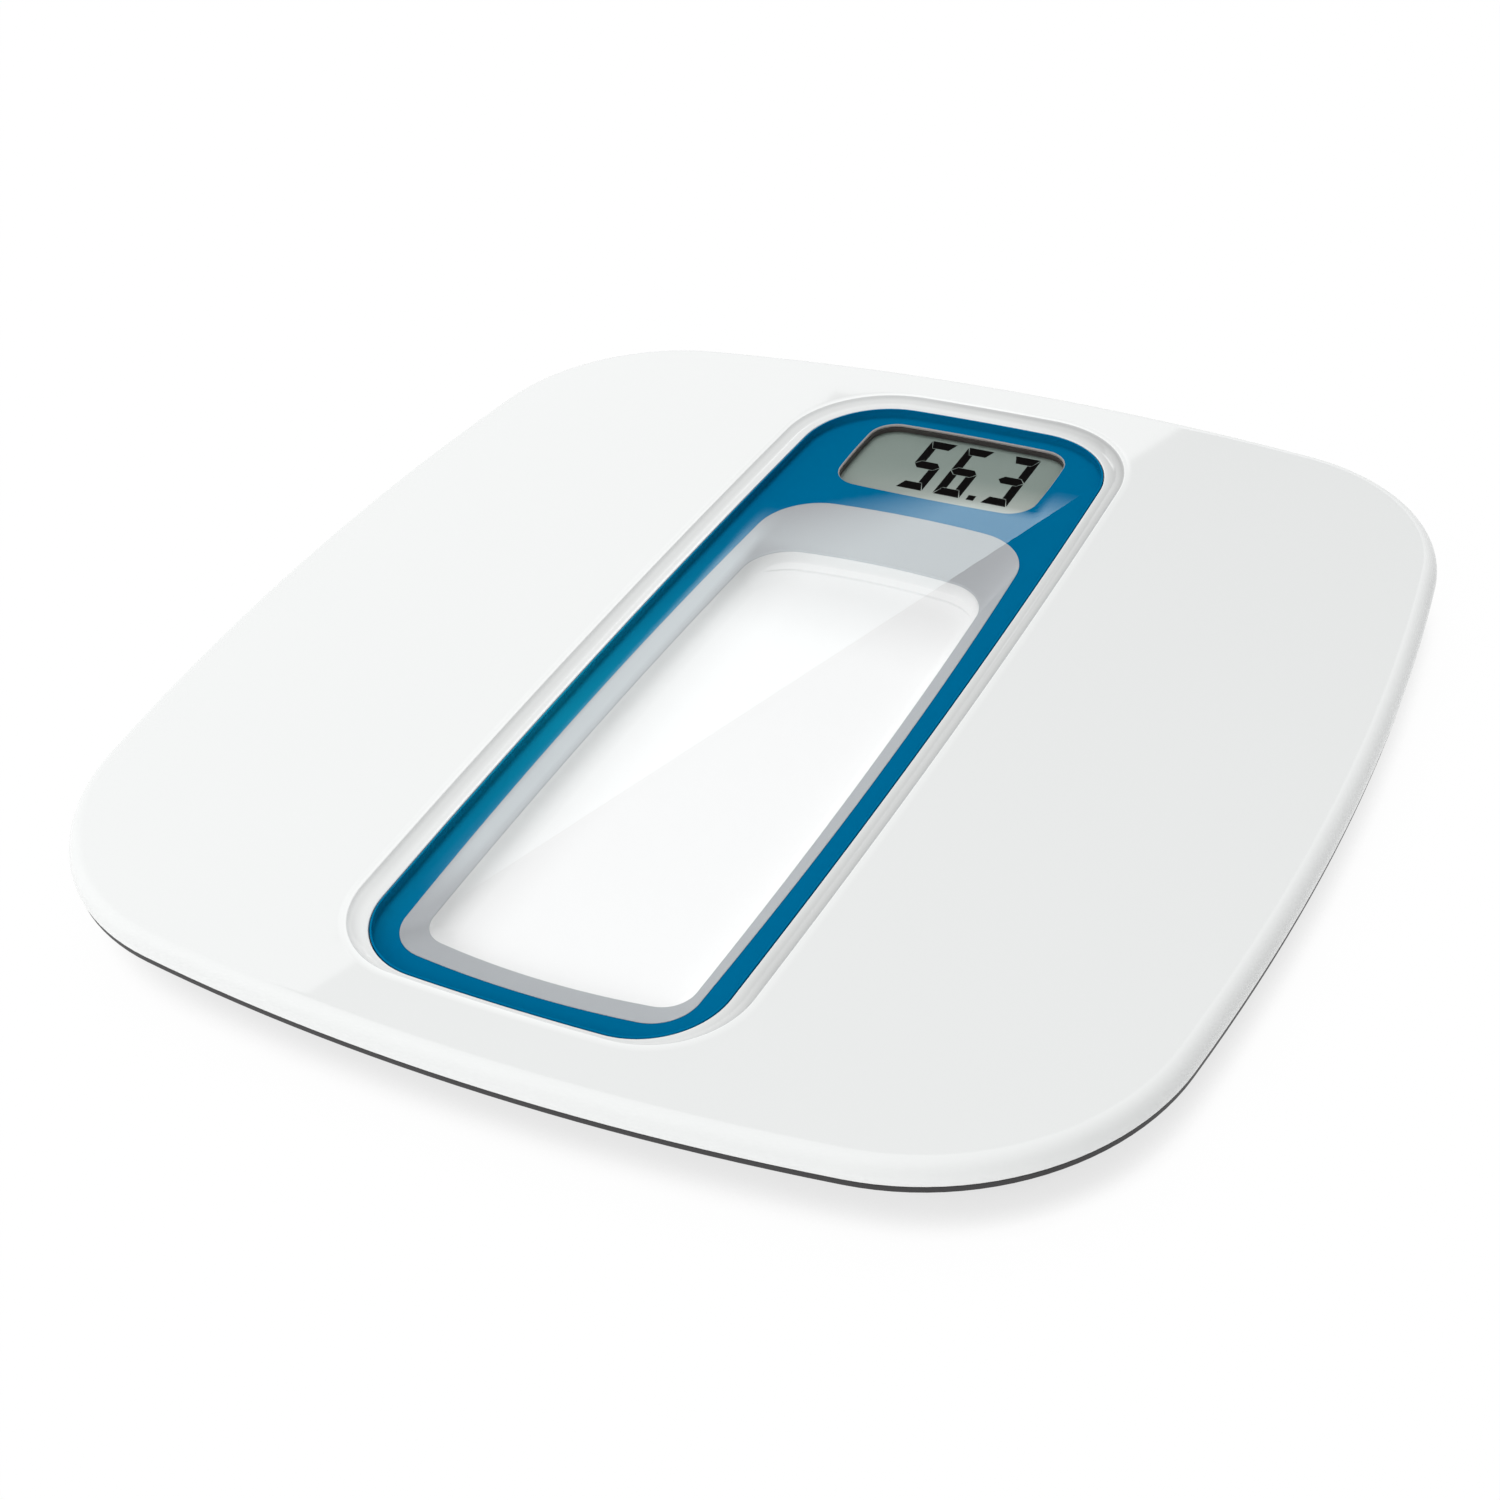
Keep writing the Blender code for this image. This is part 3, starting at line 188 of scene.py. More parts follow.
def between(inner, outer, share, z):
    """A ring part of the way from one outline to another with as many points."""
    return [(a + share * (c - a), b + share * (d - b), z) for (a, b), (c, d) in zip(inner, outer)]


moulding = bpy.data.node_groups.new("moulding_grain", "ShaderNodeTree")
moulding.interface.new_socket("Colour", in_out="INPUT", socket_type="NodeSocketColor")
for socket in ("Tone", "Cloud scale", "Roughness", "Roughness spread", "Grain scale"):
    moulding.interface.new_socket(socket, in_out="INPUT", socket_type="NodeSocketFloat")
moulding.interface.new_socket("Colour", in_out="OUTPUT", socket_type="NodeSocketColor")
for socket in ("Roughness", "Height"):
    moulding.interface.new_socket(socket, in_out="OUTPUT", socket_type="NodeSocketFloat")


def wire_up(tree, steps):
    """Add nodes to a tree: name, type, and the value of each setting or input or the socket that feeds it."""
    made = {node.name: node for node in tree.nodes}
    for name, kind, values in steps:
        node = made.get(name) or tree.nodes.new(kind if kind.startswith("NodeGroup") else "ShaderNode" + kind)
        node.name = name
        made[name] = node
        for key, value in values.items():
            if isinstance(value, tuple) and isinstance(value[0], str):
                source, output = value
                tree.links.new(made[source].outputs[output], node.inputs[key])
            elif isinstance(key, int) or key in node.inputs:
                node.inputs[key].default_value = value
            else:
                setattr(node, key, value)


def material(name, steps):
    """A new material with its nodes."""
    surface = bpy.data.materials.new(name)
    surface.use_nodes = True
    wire_up(surface.node_tree, steps)
    return surface


wire_up(moulding, [
    ("values", "NodeGroupInput", {}),
    ("place", "TexCoord", {}),
    ("clouds", "TexNoise", {
        "Detail": 3.0, "Vector": ("place", "Object"), "Scale": ("values", "Cloud scale")}),
    ("grain", "TexNoise", {
        "Detail": 2.0, "Vector": ("place", "Object"), "Scale": ("values", "Grain scale")}),
    ("swing", "Math", {"operation": "MULTIPLY_ADD", 1: 2.0, 2: -1.0, 0: ("clouds", "Fac")}),
    ("shade", "Math", {"operation": "MULTIPLY_ADD", 2: 1.0, 0: ("swing", 0), 1: ("values", "Tone")}),
    ("tinted", "VectorMath", {"operation": "SCALE", 0: ("values", "Colour"), 3: ("shade", 0)}),
    ("rougher", "Math", {
        "operation": "MULTIPLY_ADD", 0: ("swing", 0), 1: ("values", "Roughness spread"),
        2: ("values", "Roughness")}),
    ("result", "NodeGroupOutput", {
        "Colour": ("tinted", 0), "Roughness": ("rougher", 0), "Height": ("grain", "Fac")}),
])


def moulded(name, colour, roughness, depth, grain=2500.0, tone=0.012, spread=0.02, cloud=20.0, fixed=None):
    """A moulded or painted finish: faint clouds in its colour and gloss over a fine grain of a depth."""
    return material(name, [
        ("finish", "Group", {
            "node_tree": moulding, "Colour": (*colour, 1), "Tone": tone, "Cloud scale": cloud,
            "Roughness": roughness, "Roughness spread": spread, "Grain scale": grain}),
        ("bump", "Bump", {"Distance": depth, "Height": ("finish", "Height")}),
        ("Principled BSDF", "BsdfPrincipled", {
            "Base Color": ("finish", "Colour"), "Roughness": ("finish", "Roughness"),
            "Normal": ("bump", "Normal"), **(fixed or {})}),
    ])


def fit(piece, surface, slot, *nodes, body="scale_body"):
    """Give a finished piece its material, its body and the nodes that it stands for."""
    piece.data.materials.clear()
    piece.data.materials.append(surface)
    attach(piece, body)
    if nodes:
        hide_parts(*nodes)
    return piece


def clamped(value):
    """A share between none and all."""
    return max(0.0, min(1.0, value))


pocket = strip_plan(FIT)
moat_edge = moat_plan(0)
POCKET_EDGE = 0.35 * MM
MOAT_FLAT = 0.35
MOAT_EDGE = 0.12 * MM
COVE_TURN = math.radians(72)
RIM_ROUND = 4.2 * MM
RIM_WIDEST = RIM_UNDER + 0.9 * MM
RIM_TUCK = 0.5 * MM
RIM_WALL = 4 * MM
RIB_WALL = 2.8 * MM
LEDGE = 1.6 * MM
LEDGE_UNDER = LEDGE_TOP - 2 * MM
SUPPORT = 0.8 * MM
EDGE_SPREAD = 2.2 * MM
COVE_STEPS = 20
COVE_END = 0.95
RIM_STEPS = 18

rings = stack(strip_plan, (-LEDGE, LEDGE_TOP), (FIT, LEDGE_TOP))
for rise, run in quarter(4):
    rings.append(lift(strip_plan(FIT + POCKET_EDGE * (1 - run)), STRIP_TOP - POCKET_EDGE * (1 - rise)))
cove_start = len(rings)
for out, run in quarter(COVE_STEPS, 0, COVE_TURN):
    share = MOAT_FLAT + (COVE_END - MOAT_FLAT) * out / math.sin(COVE_TURN)
    rise = (1 - run) / (1 - math.cos(COVE_TURN))
    rings.append(between(pocket, moat_edge, share, STRIP_TOP + (TOP - MOAT_EDGE - STRIP_TOP) * rise))
rings += [between(pocket, moat_edge, share, TOP - drop) for share, drop in ((0.975, 0.04 * MM), (1, 0))]
rings += [lift(moat_plan(EDGE_SPREAD), TOP), platform_ring(RIM_ROUND + SUPPORT, TOP)]
rim_start = len(rings)
for fall, run in quarter(RIM_STEPS):
    rings.append(platform_ring(RIM_ROUND * (1 - fall), RIM_WIDEST + (TOP - RIM_WIDEST) * run))
for fall, run in quarter(10)[1:]:
    rings.append(platform_ring(RIM_TUCK * (1 - run), RIM_WIDEST - (RIM_WIDEST - RIM_UNDER) * fall))
rings += [platform_ring(RIM_WALL, RIM_UNDER), platform_ring(RIM_WALL, SKIN_UNDER)]
rings += stack(strip_plan, (RIB_WALL, SKIN_UNDER), (RIB_WALL, RIB_UNDER), (FIT, RIB_UNDER),
               (FIT, LEDGE_UNDER), (-LEDGE, LEDGE_UNDER))
white_gloss = moulded("white_gloss_abs", (0.80, 0.812, 0.808), 0.03, 1e-7, grain=700, tone=0.004,
                      spread=0.01, cloud=14)
# The white's colour is scaled down by the painted shade, and up by the painted highlight, that the mesh
# carries.
wire_up(white_gloss.node_tree, [
    ("cove", "Attribute", {"attribute_name": "painted_cove_shade"}),
    ("light", "Math", {"operation": "SUBTRACT", 0: 1.0, 1: ("cove", "Fac")}),
    ("shaded", "VectorMath", {"operation": "SCALE", 0: ("finish", "Colour"), 3: ("light", 0)}),
    ("Principled BSDF", "BsdfPrincipled", {"Base Color": ("shaded", 0)}),
])
# Strengths of the painted shade in the moat, the painted highlight on its edge and the painted shade on the
# rim.
PAINTED_COVE_SHADE = 0.56
PAINTED_EDGE_LIGHT = 0.16
PAINTED_RIM_SHADE = 0.34
SPINE = 115 * MM
BEHIND = Vector((-0.5, 0.87))
platform = skin("platform_moulding", rings, "shut")
painted_cove_shade = platform.data.attributes.new("painted_cove_shade", "FLOAT", "POINT")
# Painted shade and highlight: the moat's slope is painted darker as it climbs, most on the right, and its
# upper edge gets a painted highlight, least on the right. The rim is painted darker as it turns away at the
# back left.
for number, vertex in enumerate(platform.data.vertices):
    step = number // len(pocket)
    x, y = vertex.co.xy
    away = Vector((x, y - max(-SPINE, min(SPINE, y)))).normalized()
    right_side = max(0.0, away.x) ** 2
    shade = 0.0
    if cove_start - 1 <= step <= cove_start + COVE_STEPS:
        climb = max(0, step - cove_start) / COVE_STEPS
        facing = clamped(0.65 + 0.35 * away.x * abs(away.x) + min(0.15 * away.y, 0.9 * away.y))
        painted_shade_profile = 0.4 * right_side + (1 - 0.4 * right_side) * climb - 1.8 * max(0.0, climb - 0.8)
        shade = PAINTED_COVE_SHADE * facing * painted_shade_profile * (0.4 if step < cove_start else 1)
    elif step == cove_start + COVE_STEPS + 2:
        shade = -PAINTED_EDGE_LIGHT * (1 - 0.6 * right_side + 0.8 * max(0.0, away.y))
    elif rim_start <= step < rim_start + RIM_STEPS:
        turn = math.sin(math.pi / 2 * (step - rim_start) / RIM_STEPS)
        hidden = clamped((Vector((x, y)).normalized().dot(BEHIND) + 0.2) / 0.6)
        shade = PAINTED_RIM_SHADE * hidden * turn ** 4
    painted_cove_shade.data[number].value = shade
fit(platform, white_gloss, "white_abs", "platform_shell")


# Blue surround: a shallow dish that carries the lens, moulded in ABS and sprayed blue inside. It has one
# opening for the display, with a bevelled edge that stays bare, and one for the well.
SURROUND_TOP = strip_low.z + 0.8 * MM
SURROUND_UNDER = strip_low.z
DISH_WALL = 0.5 * MM
DISH_EDGE = 0.12 * MM
WINDOW_BEVEL = 0.32 * MM
OPENING_EDGE = 0.15 * MM
glass_low, glass_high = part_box("display_glass")
band_low, band_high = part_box("silver_band")
BAND_LAP = 1.5 * MM
band_half = band_high.x - BAND_LAP
band_front = band_low.y + BAND_LAP
band_back = band_high.y - BAND_LAP


def display_plan(grow):
    """The display's opening, or an outline parallel to it."""
    return outline(glass_high.x - 2.5 * MM, glass_low.y + 1.6 * MM, glass_high.y - 1.4 * MM,
                   side_bulge=0.8 * MM, end_bulge=0.8 * MM, corner_front=8.5 * MM, corner_back=8.5 * MM,
                   grow=grow)


def band_plan(grow):
    """The edge of the silver band in the surround's opening, or an outline parallel to it."""
    return outline(band_half, band_front, band_back, side_bulge=3.4 * MM, end_bulge=3.6 * MM,
                   corner_front=12 * MM, corner_back=19 * MM, grow=grow)


def welded(name, *pieces):
    """Join pieces of one moulding into the first."""
    pick(*pieces)
    bpy.ops.object.join()
    pieces[0].name = pieces[0].data.name = name
    return pieces[0]


def close_flat(piece, z):
    """Fill the open edges that lie at one height, round the openings."""
    pick(piece)
    bpy.ops.object.mode_set(mode="EDIT")
    bpy.ops.mesh.select_mode(type="EDGE")
    bpy.ops.mesh.select_all(action="DESELECT")
    mesh = bmesh.from_edit_mesh(piece.data)
    for edge in mesh.edges:
        edge.select_set(edge.is_boundary and all(abs(v.co.z - z) < 0.01 * MM for v in edge.verts))
    bmesh.update_edit_mesh(piece.data)
    bpy.ops.mesh.fill(use_beauty=True)
    bpy.ops.mesh.select_mode(type="VERT")
    bpy.ops.object.mode_set(mode="OBJECT")


dish = skin("dish", stack(
    strip_plan, (-DISH_WALL, SURROUND_TOP), (-DISH_WALL, STRIP_TOP - DISH_EDGE),
    (DISH_EDGE - DISH_WALL, STRIP_TOP), (-DISH_EDGE, STRIP_TOP), (0, STRIP_TOP - DISH_EDGE),
    (0, SURROUND_UNDER)), "open")
display_edge = skin("display_edge", stack(
    display_plan, (WINDOW_BEVEL, SURROUND_TOP), (0, SURROUND_TOP - WINDOW_BEVEL),
    (0, SURROUND_UNDER)), "open")
well_edge = skin("well_edge", stack(
    band_plan, (OPENING_EDGE, SURROUND_TOP), (0, SURROUND_TOP - OPENING_EDGE), (0, SURROUND_UNDER)), "open")
surround = welded("blue_dish", dish, display_edge, well_edge)
close_flat(surround, SURROUND_TOP)
close_flat(surround, SURROUND_UNDER)
polish(surround)
AXES = [("place", "TexCoord", {}), ("axes", "SeparateXYZ", {0: ("place", "Object")})]
blue_paint = moulded("blue_paint", (0.0, 0.143, 0.305), 0.4, 3e-6, grain=1800, tone=0.03, spread=0.03,
                     cloud=60, fixed={"Specular IOR Level": 0.0})
# Painted sheen: the blue is painted lighter and greener towards the middle of its left side, as if lit there.
wire_up(blue_paint.node_tree, AXES + [
    ("left", "MapRange", {"From Min": -36 * MM, "From Max": -46 * MM, "Value": ("axes", "X")}),
    ("middle", "Math", {"operation": "ADD", 1: 35 * MM, 0: ("axes", "Y")}),
    ("away", "Math", {"operation": "ABSOLUTE", 0: ("middle", 0)}),
    ("along", "MapRange", {"From Max": 120 * MM, "To Min": 1.0, "To Max": 0.0, "Value": ("away", 0)}),
    ("painted_sheen", "Math", {"operation": "MULTIPLY", 0: ("left", 0), 1: ("along", 0)}),
    ("painted_sheen_colour", "VectorMath", {
        "operation": "MULTIPLY_ADD", 0: (0.004, 0.092, 0.075), 1: ("painted_sheen", 0), 2: ("finish", "Colour")}),
    ("Principled BSDF", "BsdfPrincipled", {"Base Color": ("painted_sheen_colour", 0)}),
])
bevel_grey = moulded("bevel_grey", (0.36, 0.335, 0.325), 0.35, 3e-6, grain=1800)
fit(surround, blue_paint, "blue_acrylic", "blue_surround")
surround.data.materials.append(bevel_grey)
for face in surround.data.polygons:
    x, y, z = face.center
    by_display = abs(x) < glass_high.x and glass_low.y < y < glass_high.y and z < SURROUND_TOP
    if by_display and abs(face.normal.z) < 0.9:
        face.material_index = 1


# Window lens: a clear acrylic strip, cut to the dish and held in it by its edge, flush with the moat's floor.
# Its lower edge is eased and both faces are polished.
lens_low, lens_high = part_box("window_lens")
LENS_GAP = DISH_WALL + 0.05 * MM
LENS_EDGE = 0.075 * MM
rings = stack(strip_plan, (-LENS_GAP - LENS_EDGE, lens_low.z), (-LENS_GAP, lens_low.z + LENS_EDGE),
              (-LENS_GAP, lens_high.z))
lens = skin("clear_lens", rings)
clear = material("polished_acrylic", [
    ("place", "TexCoord", {}),
    ("haze", "TexNoise", {"Scale": 30.0, "Detail": 3.0, "Vector": ("place", "Object")}),
    ("polish", "MapRange", {"To Min": 0.0, "To Max": 0.006, "Value": ("haze", "Fac")}),
    ("gloss", "BsdfGlossy", {"Color": (0.88, 1, 1, 1), "Roughness": ("polish", 0)}),
    ("through", "BsdfTransparent", {"Color": (1, 1, 1, 1)}),
    ("fresnel", "Fresnel", {"IOR": 1.49}),
    ("side", "NewGeometry", {}),
    ("outer", "Math", {"operation": "SUBTRACT", 0: 1.0, 1: ("side", "Backfacing")}),
    ("share", "Math", {"operation": "MULTIPLY", 0: ("fresnel", 0), 1: ("outer", 0)}),
    ("mix", "MixShader", {0: ("share", 0), 1: ("through", 0), 2: ("gloss", 0)}),
    ("Material Output", "OutputMaterial", {"Surface": ("mix", 0)}),
])
fit(lens, clear, "clear_lens", "window_lens")


# Silver band: a vacuum-formed ring with a metallic paint, clipped under the blue dish with its brim in the
# opening. It slopes down from the dish to a rolled lip at the mouth of the well.
BAND_TOP = band_high.z
BAND_LIP = BAND_TOP - 1.6 * MM
BAND_THICKNESS = 1 * MM
LIP_ROLL = 0.4 * MM


def well_plan(grow):
    """The mouth of the well, or an outline parallel to it."""
    return outline(band_half - 5.2 * MM, band_front + 8.4 * MM, band_back - 23.4 * MM, side_bulge=2 * MM,
                   end_bulge=3.6 * MM, corner_front=8.5 * MM, corner_back=14.5 * MM, grow=grow)


edge = band_plan(0)
mouth = well_plan(0)
BRIM_GAP = 0.05 * MM
brim = band_plan(-BRIM_GAP)
BRIM_TOP = SURROUND_TOP - 0.04 * MM
BAND_UNDER = BAND_TOP - BAND_THICKNESS
LIP_MIDDLE = BAND_LIP - BAND_THICKNESS / 2
rings = stack(band_plan, (BAND_LAP, BAND_UNDER), (BAND_LAP, BAND_TOP), (-BRIM_GAP, BAND_TOP),
              (-BRIM_GAP, BRIM_TOP))
rings += [between(brim, well_plan(LIP_ROLL), share, BRIM_TOP + (BAND_LIP - BRIM_TOP) * share)
          for share in (0.02, 0.25, 0.5, 0.75, 0.97)]
for fall, run in quarter(5):
    rings.append(lift(well_plan(LIP_ROLL * (1 - fall)), LIP_MIDDLE + BAND_THICKNESS / 2 * run))
rings.append(lift(edge, BAND_UNDER))
silver = moulded("silver_paint", (0.475, 0.492, 0.514), 0.38, 2e-6, grain=5200, tone=0.015, spread=0.02,
                 cloud=9000, fixed={"Metallic": 0.35, "Specular IOR Level": 0.3})
fit(skin("band", rings, "shut"), silver, "silver_paint", "silver_band")


# Display well: the white tray under the lens, moulded in ABS with a soft radius round its floor and a raked
# back wall. Its flange is glued under the silver band, and its floor is bare.
WELL_FLOOR = STRIP_TOP - 11 * MM
WELL_ROUND = 4.5 * MM
TRAY_WALL = 1.5 * MM
FLANGE_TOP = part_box("display_well")[1].z
THROAT = LIP_MIDDLE - 0.03 * MM


def well_floor_plan(grow):
    """The foot of the well's walls, or an outline parallel to it."""
    return outline(band_half - 6.4 * MM, band_front + 9.6 * MM, band_back - 28.6 * MM, side_bulge=2 * MM,
                   end_bulge=3.6 * MM, corner_front=11 * MM, corner_back=14.5 * MM, grow=grow)


floor_edge = well_floor_plan(-WELL_ROUND)
rings = [between(floor_edge, mouth, rise, WELL_FLOOR + (THROAT - WELL_FLOOR) * (1 - run))
         for rise, run in quarter(14)]
rings += stack(band_plan, (0, FLANGE_TOP), (BAND_LAP, FLANGE_TOP), (BAND_LAP, FLANGE_TOP - TRAY_WALL),
               (0, FLANGE_TOP - TRAY_WALL))
rings.append(lift(well_plan(TRAY_WALL), THROAT - TRAY_WALL))
rings += stack(well_floor_plan, (TRAY_WALL, WELL_FLOOR + TRAY_WALL), (0, WELL_FLOOR - TRAY_WALL))
white_tray = moulded("white_tray_abs", (0.96, 0.96, 0.96), 0.4, 3e-6, grain=1200, tone=0.004, spread=0.03,
                     cloud=18)
# Painted shadow: the tray's colour is darker towards its left wall and towards its back wall.
wire_up(white_tray.node_tree, AXES + [
    ("left", "MapRange", {
        "interpolation_type": "SMOOTHSTEP", "From Min": -40 * MM, "From Max": -18 * MM, "To Min": 0.87,
        "Value": ("axes", "X")}),
    ("back", "MapRange", {
        "interpolation_type": "SMOOTHSTEP", "From Min": 62 * MM, "From Max": 22 * MM, "To Min": 0.84,
        "Value": ("axes", "Y")}),
    ("light", "Math", {"operation": "MULTIPLY", 0: ("left", 0), 1: ("back", 0)}),
    ("shaded", "VectorMath", {"operation": "SCALE", 0: ("finish", "Colour"), 3: ("light", 0)}),
    ("Principled BSDF", "BsdfPrincipled", {"Base Color": ("shaded", 0)}),
])
fit(skin("well_tray", rings), white_tray, "white_abs", "display_well")


# Display: a reflective liquid-crystal cell of two bonded glass sheets, with a grey-green polariser on top and
# dark segments under it that show a plain weight. A black frame holds it over the circuit board.
GLASS_TOP = glass_high.z
GLASS_EDGE = 0.2 * MM


def glass_plan(grow):
    """The display cell's outline, or one parallel to it."""
    return outline(glass_high.x, glass_low.y, glass_high.y, side_bulge=0.8 * MM, end_bulge=0.8 * MM,
                   corner_front=9.5 * MM, corner_back=9.5 * MM, grow=grow)


rings = stack(glass_plan, (0, glass_low.z), (0, GLASS_TOP - GLASS_EDGE), (-GLASS_EDGE, GLASS_TOP))
# The polariser is painted darker towards its back edge, a painted shade, and lighter towards its front right
# corner.
polariser = material("grey_green_polariser", AXES + [
    ("rise", "MapRange", {"From Min": glass_low.y, "From Max": glass_high.y, "Value": ("axes", "Y")}),
    ("fall", "ValToRGB", {"Fac": ("rise", 0)}),
    ("fleck", "TexNoise", {"Scale": 6000.0, "Detail": 1.0, "Vector": ("place", "Object")}),
    ("speckle", "MapRange", {"To Min": 0.95, "To Max": 1.05, "Value": ("fleck", "Fac")}),
    ("tint", "VectorMath", {"operation": "SCALE", 0: ("fall", "Color"), 3: ("speckle", 0)}),
    ("low", "MapRange", {"From Min": 121 * MM, "From Max": 105 * MM, "Value": ("axes", "Y")}),
    ("far", "MapRange", {"From Min": -34 * MM, "From Max": 28 * MM, "Value": ("axes", "X")}),
    ("corner", "Math", {"operation": "MULTIPLY", 0: ("low", 0), 1: ("far", 0)}),
    ("lighter", "VectorMath", {
        "operation": "MULTIPLY_ADD", 0: (0.2, 0.185, 0.18), 1: ("corner", 0), 2: ("tint", 0)}),
    ("matt", "MapRange", {"To Min": 0.25, "To Max": 0.35, "Value": ("fleck", "Fac")}),
    ("Principled BSDF", "BsdfPrincipled", {
        "Specular IOR Level": 0.05, "Base Color": ("lighter", 0), "Roughness": ("matt", 0)}),
])
ramp = polariser.node_tree.nodes["fall"].color_ramp
ramp.elements[0].color = (0.28, 0.32, 0.295, 1)
ramp.elements[1].color = (0.225, 0.275, 0.25, 1)
ramp.elements.new(0.35).color = (0.245, 0.295, 0.268, 1)
fit(skin("display_cell", rings), polariser, "display_glass", "display_glass")

DIGIT_FRONT = 108.6 * MM
DIGIT_BACK = 137.6 * MM
UPRIGHT = 2.9 * MM
BAR = 4.1 * MM
MITRE = 1.7 * MM
SEGMENT_GAP = 0.25 * MM
SEGMENT_HEIGHT = 0.03 * MM
FONT = {"5": "afgcd", "6": "afgcde", "3": "abgcd"}
FIGURES = (("5", -13.8 * MM, -5 * MM), ("6", -1.4 * MM, 7.4 * MM), ("3", 14.2 * MM, 22.8 * MM))
POINT_LEFT = 9.6 * MM
POINT_RIGHT = 12 * MM
POINT_BACK = DIGIT_FRONT + 2.8 * MM


def segment_outline(name, left, right):
    """Corners of one bar of a seven-bar digit, mitred where bars meet."""
    middle = (DIGIT_FRONT + DIGIT_BACK) / 2
    gap = SEGMENT_GAP
    if name in "ad":
        y, inner = (DIGIT_BACK, DIGIT_BACK - BAR) if name == "a" else (DIGIT_FRONT, DIGIT_FRONT + BAR)
        return [(left + gap, y), (right - gap, y), (right - MITRE, inner), (left + MITRE, inner)]
    if name == "g":
        low, high = middle - BAR / 2, middle + BAR / 2
        return [(left + gap, middle), (left + MITRE, low), (right - MITRE, low),
                (right - gap, middle), (right - MITRE, high), (left + MITRE, high)]
    x, inward = (left, 1) if name in "ef" else (right, -1)
    if name in "fb":
        ends = (middle, middle + BAR / 2, DIGIT_BACK - BAR, DIGIT_BACK)
    else:
        ends = (DIGIT_FRONT, DIGIT_FRONT + BAR, middle - BAR / 2, middle)
    cut = x + inward * MITRE
    inner = x + inward * UPRIGHT
    return [(x, ends[0] + gap), (cut, ends[1] + gap), (inner, ends[1] + gap),
            (inner, ends[2] - gap), (cut, ends[2] - gap), (x, ends[3] - gap)]


outlines = [segment_outline(name, left, right) for figure, left, right in FIGURES for name in FONT[figure]]
outlines.append([(POINT_LEFT, DIGIT_FRONT), (POINT_RIGHT, DIGIT_FRONT), (POINT_RIGHT, POINT_BACK),
                 (POINT_LEFT, POINT_BACK)])
bars = [skin("bar", [lift(corners, GLASS_TOP), lift(corners, GLASS_TOP + SEGMENT_HEIGHT)])
        for corners in outlines]
segment_black = moulded("segment_black", (0.006, 0.0055, 0.0055), 0.5, 1e-6, grain=5000, tone=0.1,
                        spread=0.03, cloud=900, fixed={"Specular IOR Level": 0.0})
fit(polish(welded("display_digits", *bars)), segment_black, "display_glass")

holder_low, holder_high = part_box("display_holder")
HOLDER_WALL = holder_high.x - glass_high.x
SIGHT_UNDER = GLASS_TOP + FIT
rings = stack(glass_plan, (HOLDER_WALL, holder_low.z), (HOLDER_WALL, holder_high.z))
rings += stack(display_plan, (OPENING_EDGE, holder_high.z), (0, holder_high.z - OPENING_EDGE),
               (0, SIGHT_UNDER))
rings += stack(glass_plan, (FIT, SIGHT_UNDER), (FIT, holder_low.z))
black_abs = moulded("black_abs", (0.05, 0.044, 0.042), 0.5, 1e-5, grain=2200, tone=0.1)
fit(skin("display_frame", rings, "shut"), black_abs, "black_abs", "display_holder")


# Circuit board and what is soldered to it: green glass-fibre laminate, a black potted controller, nylon lead
# sockets, a steel push switch, and striped rubber connectors that the display cell presses on.
def dress(surface, *names):
    """Give CAD nodes that stay a material."""
    for name in names:
        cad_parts[name].data.materials.clear()
        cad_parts[name].data.materials.append(surface)


laminate = material("green_laminate", [
    ("place", "TexCoord", {}),
    ("weave", "TexChecker", {
        "Scale": 1400.0, "Color1": (0.012, 0.13, 0.05, 1), "Color2": (0.02, 0.17, 0.065, 1),
        "Vector": ("place", "Object")}),
    ("tracks", "TexBrick", {
        "Scale": 120.0, "Mortar Size": 0.03, "Color1": (0, 0, 0, 1), "Color2": (0, 0, 0, 1),
        "Mortar": (0.03, 0.08, 0.02, 1), "Vector": ("place", "Object")}),
    ("both", "VectorMath", {"operation": "ADD", 0: ("weave", "Color"), 1: ("tracks", "Color")}),
    ("gloss", "MapRange", {"To Min": 0.35, "To Max": 0.5, "Value": ("weave", "Fac")}),
    ("Principled BSDF", "BsdfPrincipled", {"Base Color": ("both", 0), "Roughness": ("gloss", 0)}),
])
dress(laminate, "circuit_board")
dress(black_abs, "controller_blob")
nylon = moulded("natural_nylon", (0.74, 0.72, 0.66), 0.45, 6e-6, grain=1600, tone=0.03)
dress(nylon, "lead_socket_left", "lead_socket_right")
zebra = material("striped_rubber", [
    ("place", "TexCoord", {}),
    ("stripes", "TexWave", {"bands_direction": "X", "Scale": 1500.0, "Vector": ("place", "Object")}),
    ("colour", "Mix", {
        "data_type": "RGBA", 6: (0.02, 0.02, 0.02, 1), 7: (0.45, 0.4, 0.38, 1), 0: ("stripes", "Fac")}),
    ("matt", "MapRange", {"To Min": 0.7, "To Max": 0.9, "Value": ("stripes", "Fac")}),
    ("Principled BSDF", "BsdfPrincipled", {"Base Color": ("colour", 2), "Roughness": ("matt", 0)}),
])
dress(zebra, "rubber_connector_front", "rubber_connector_back")


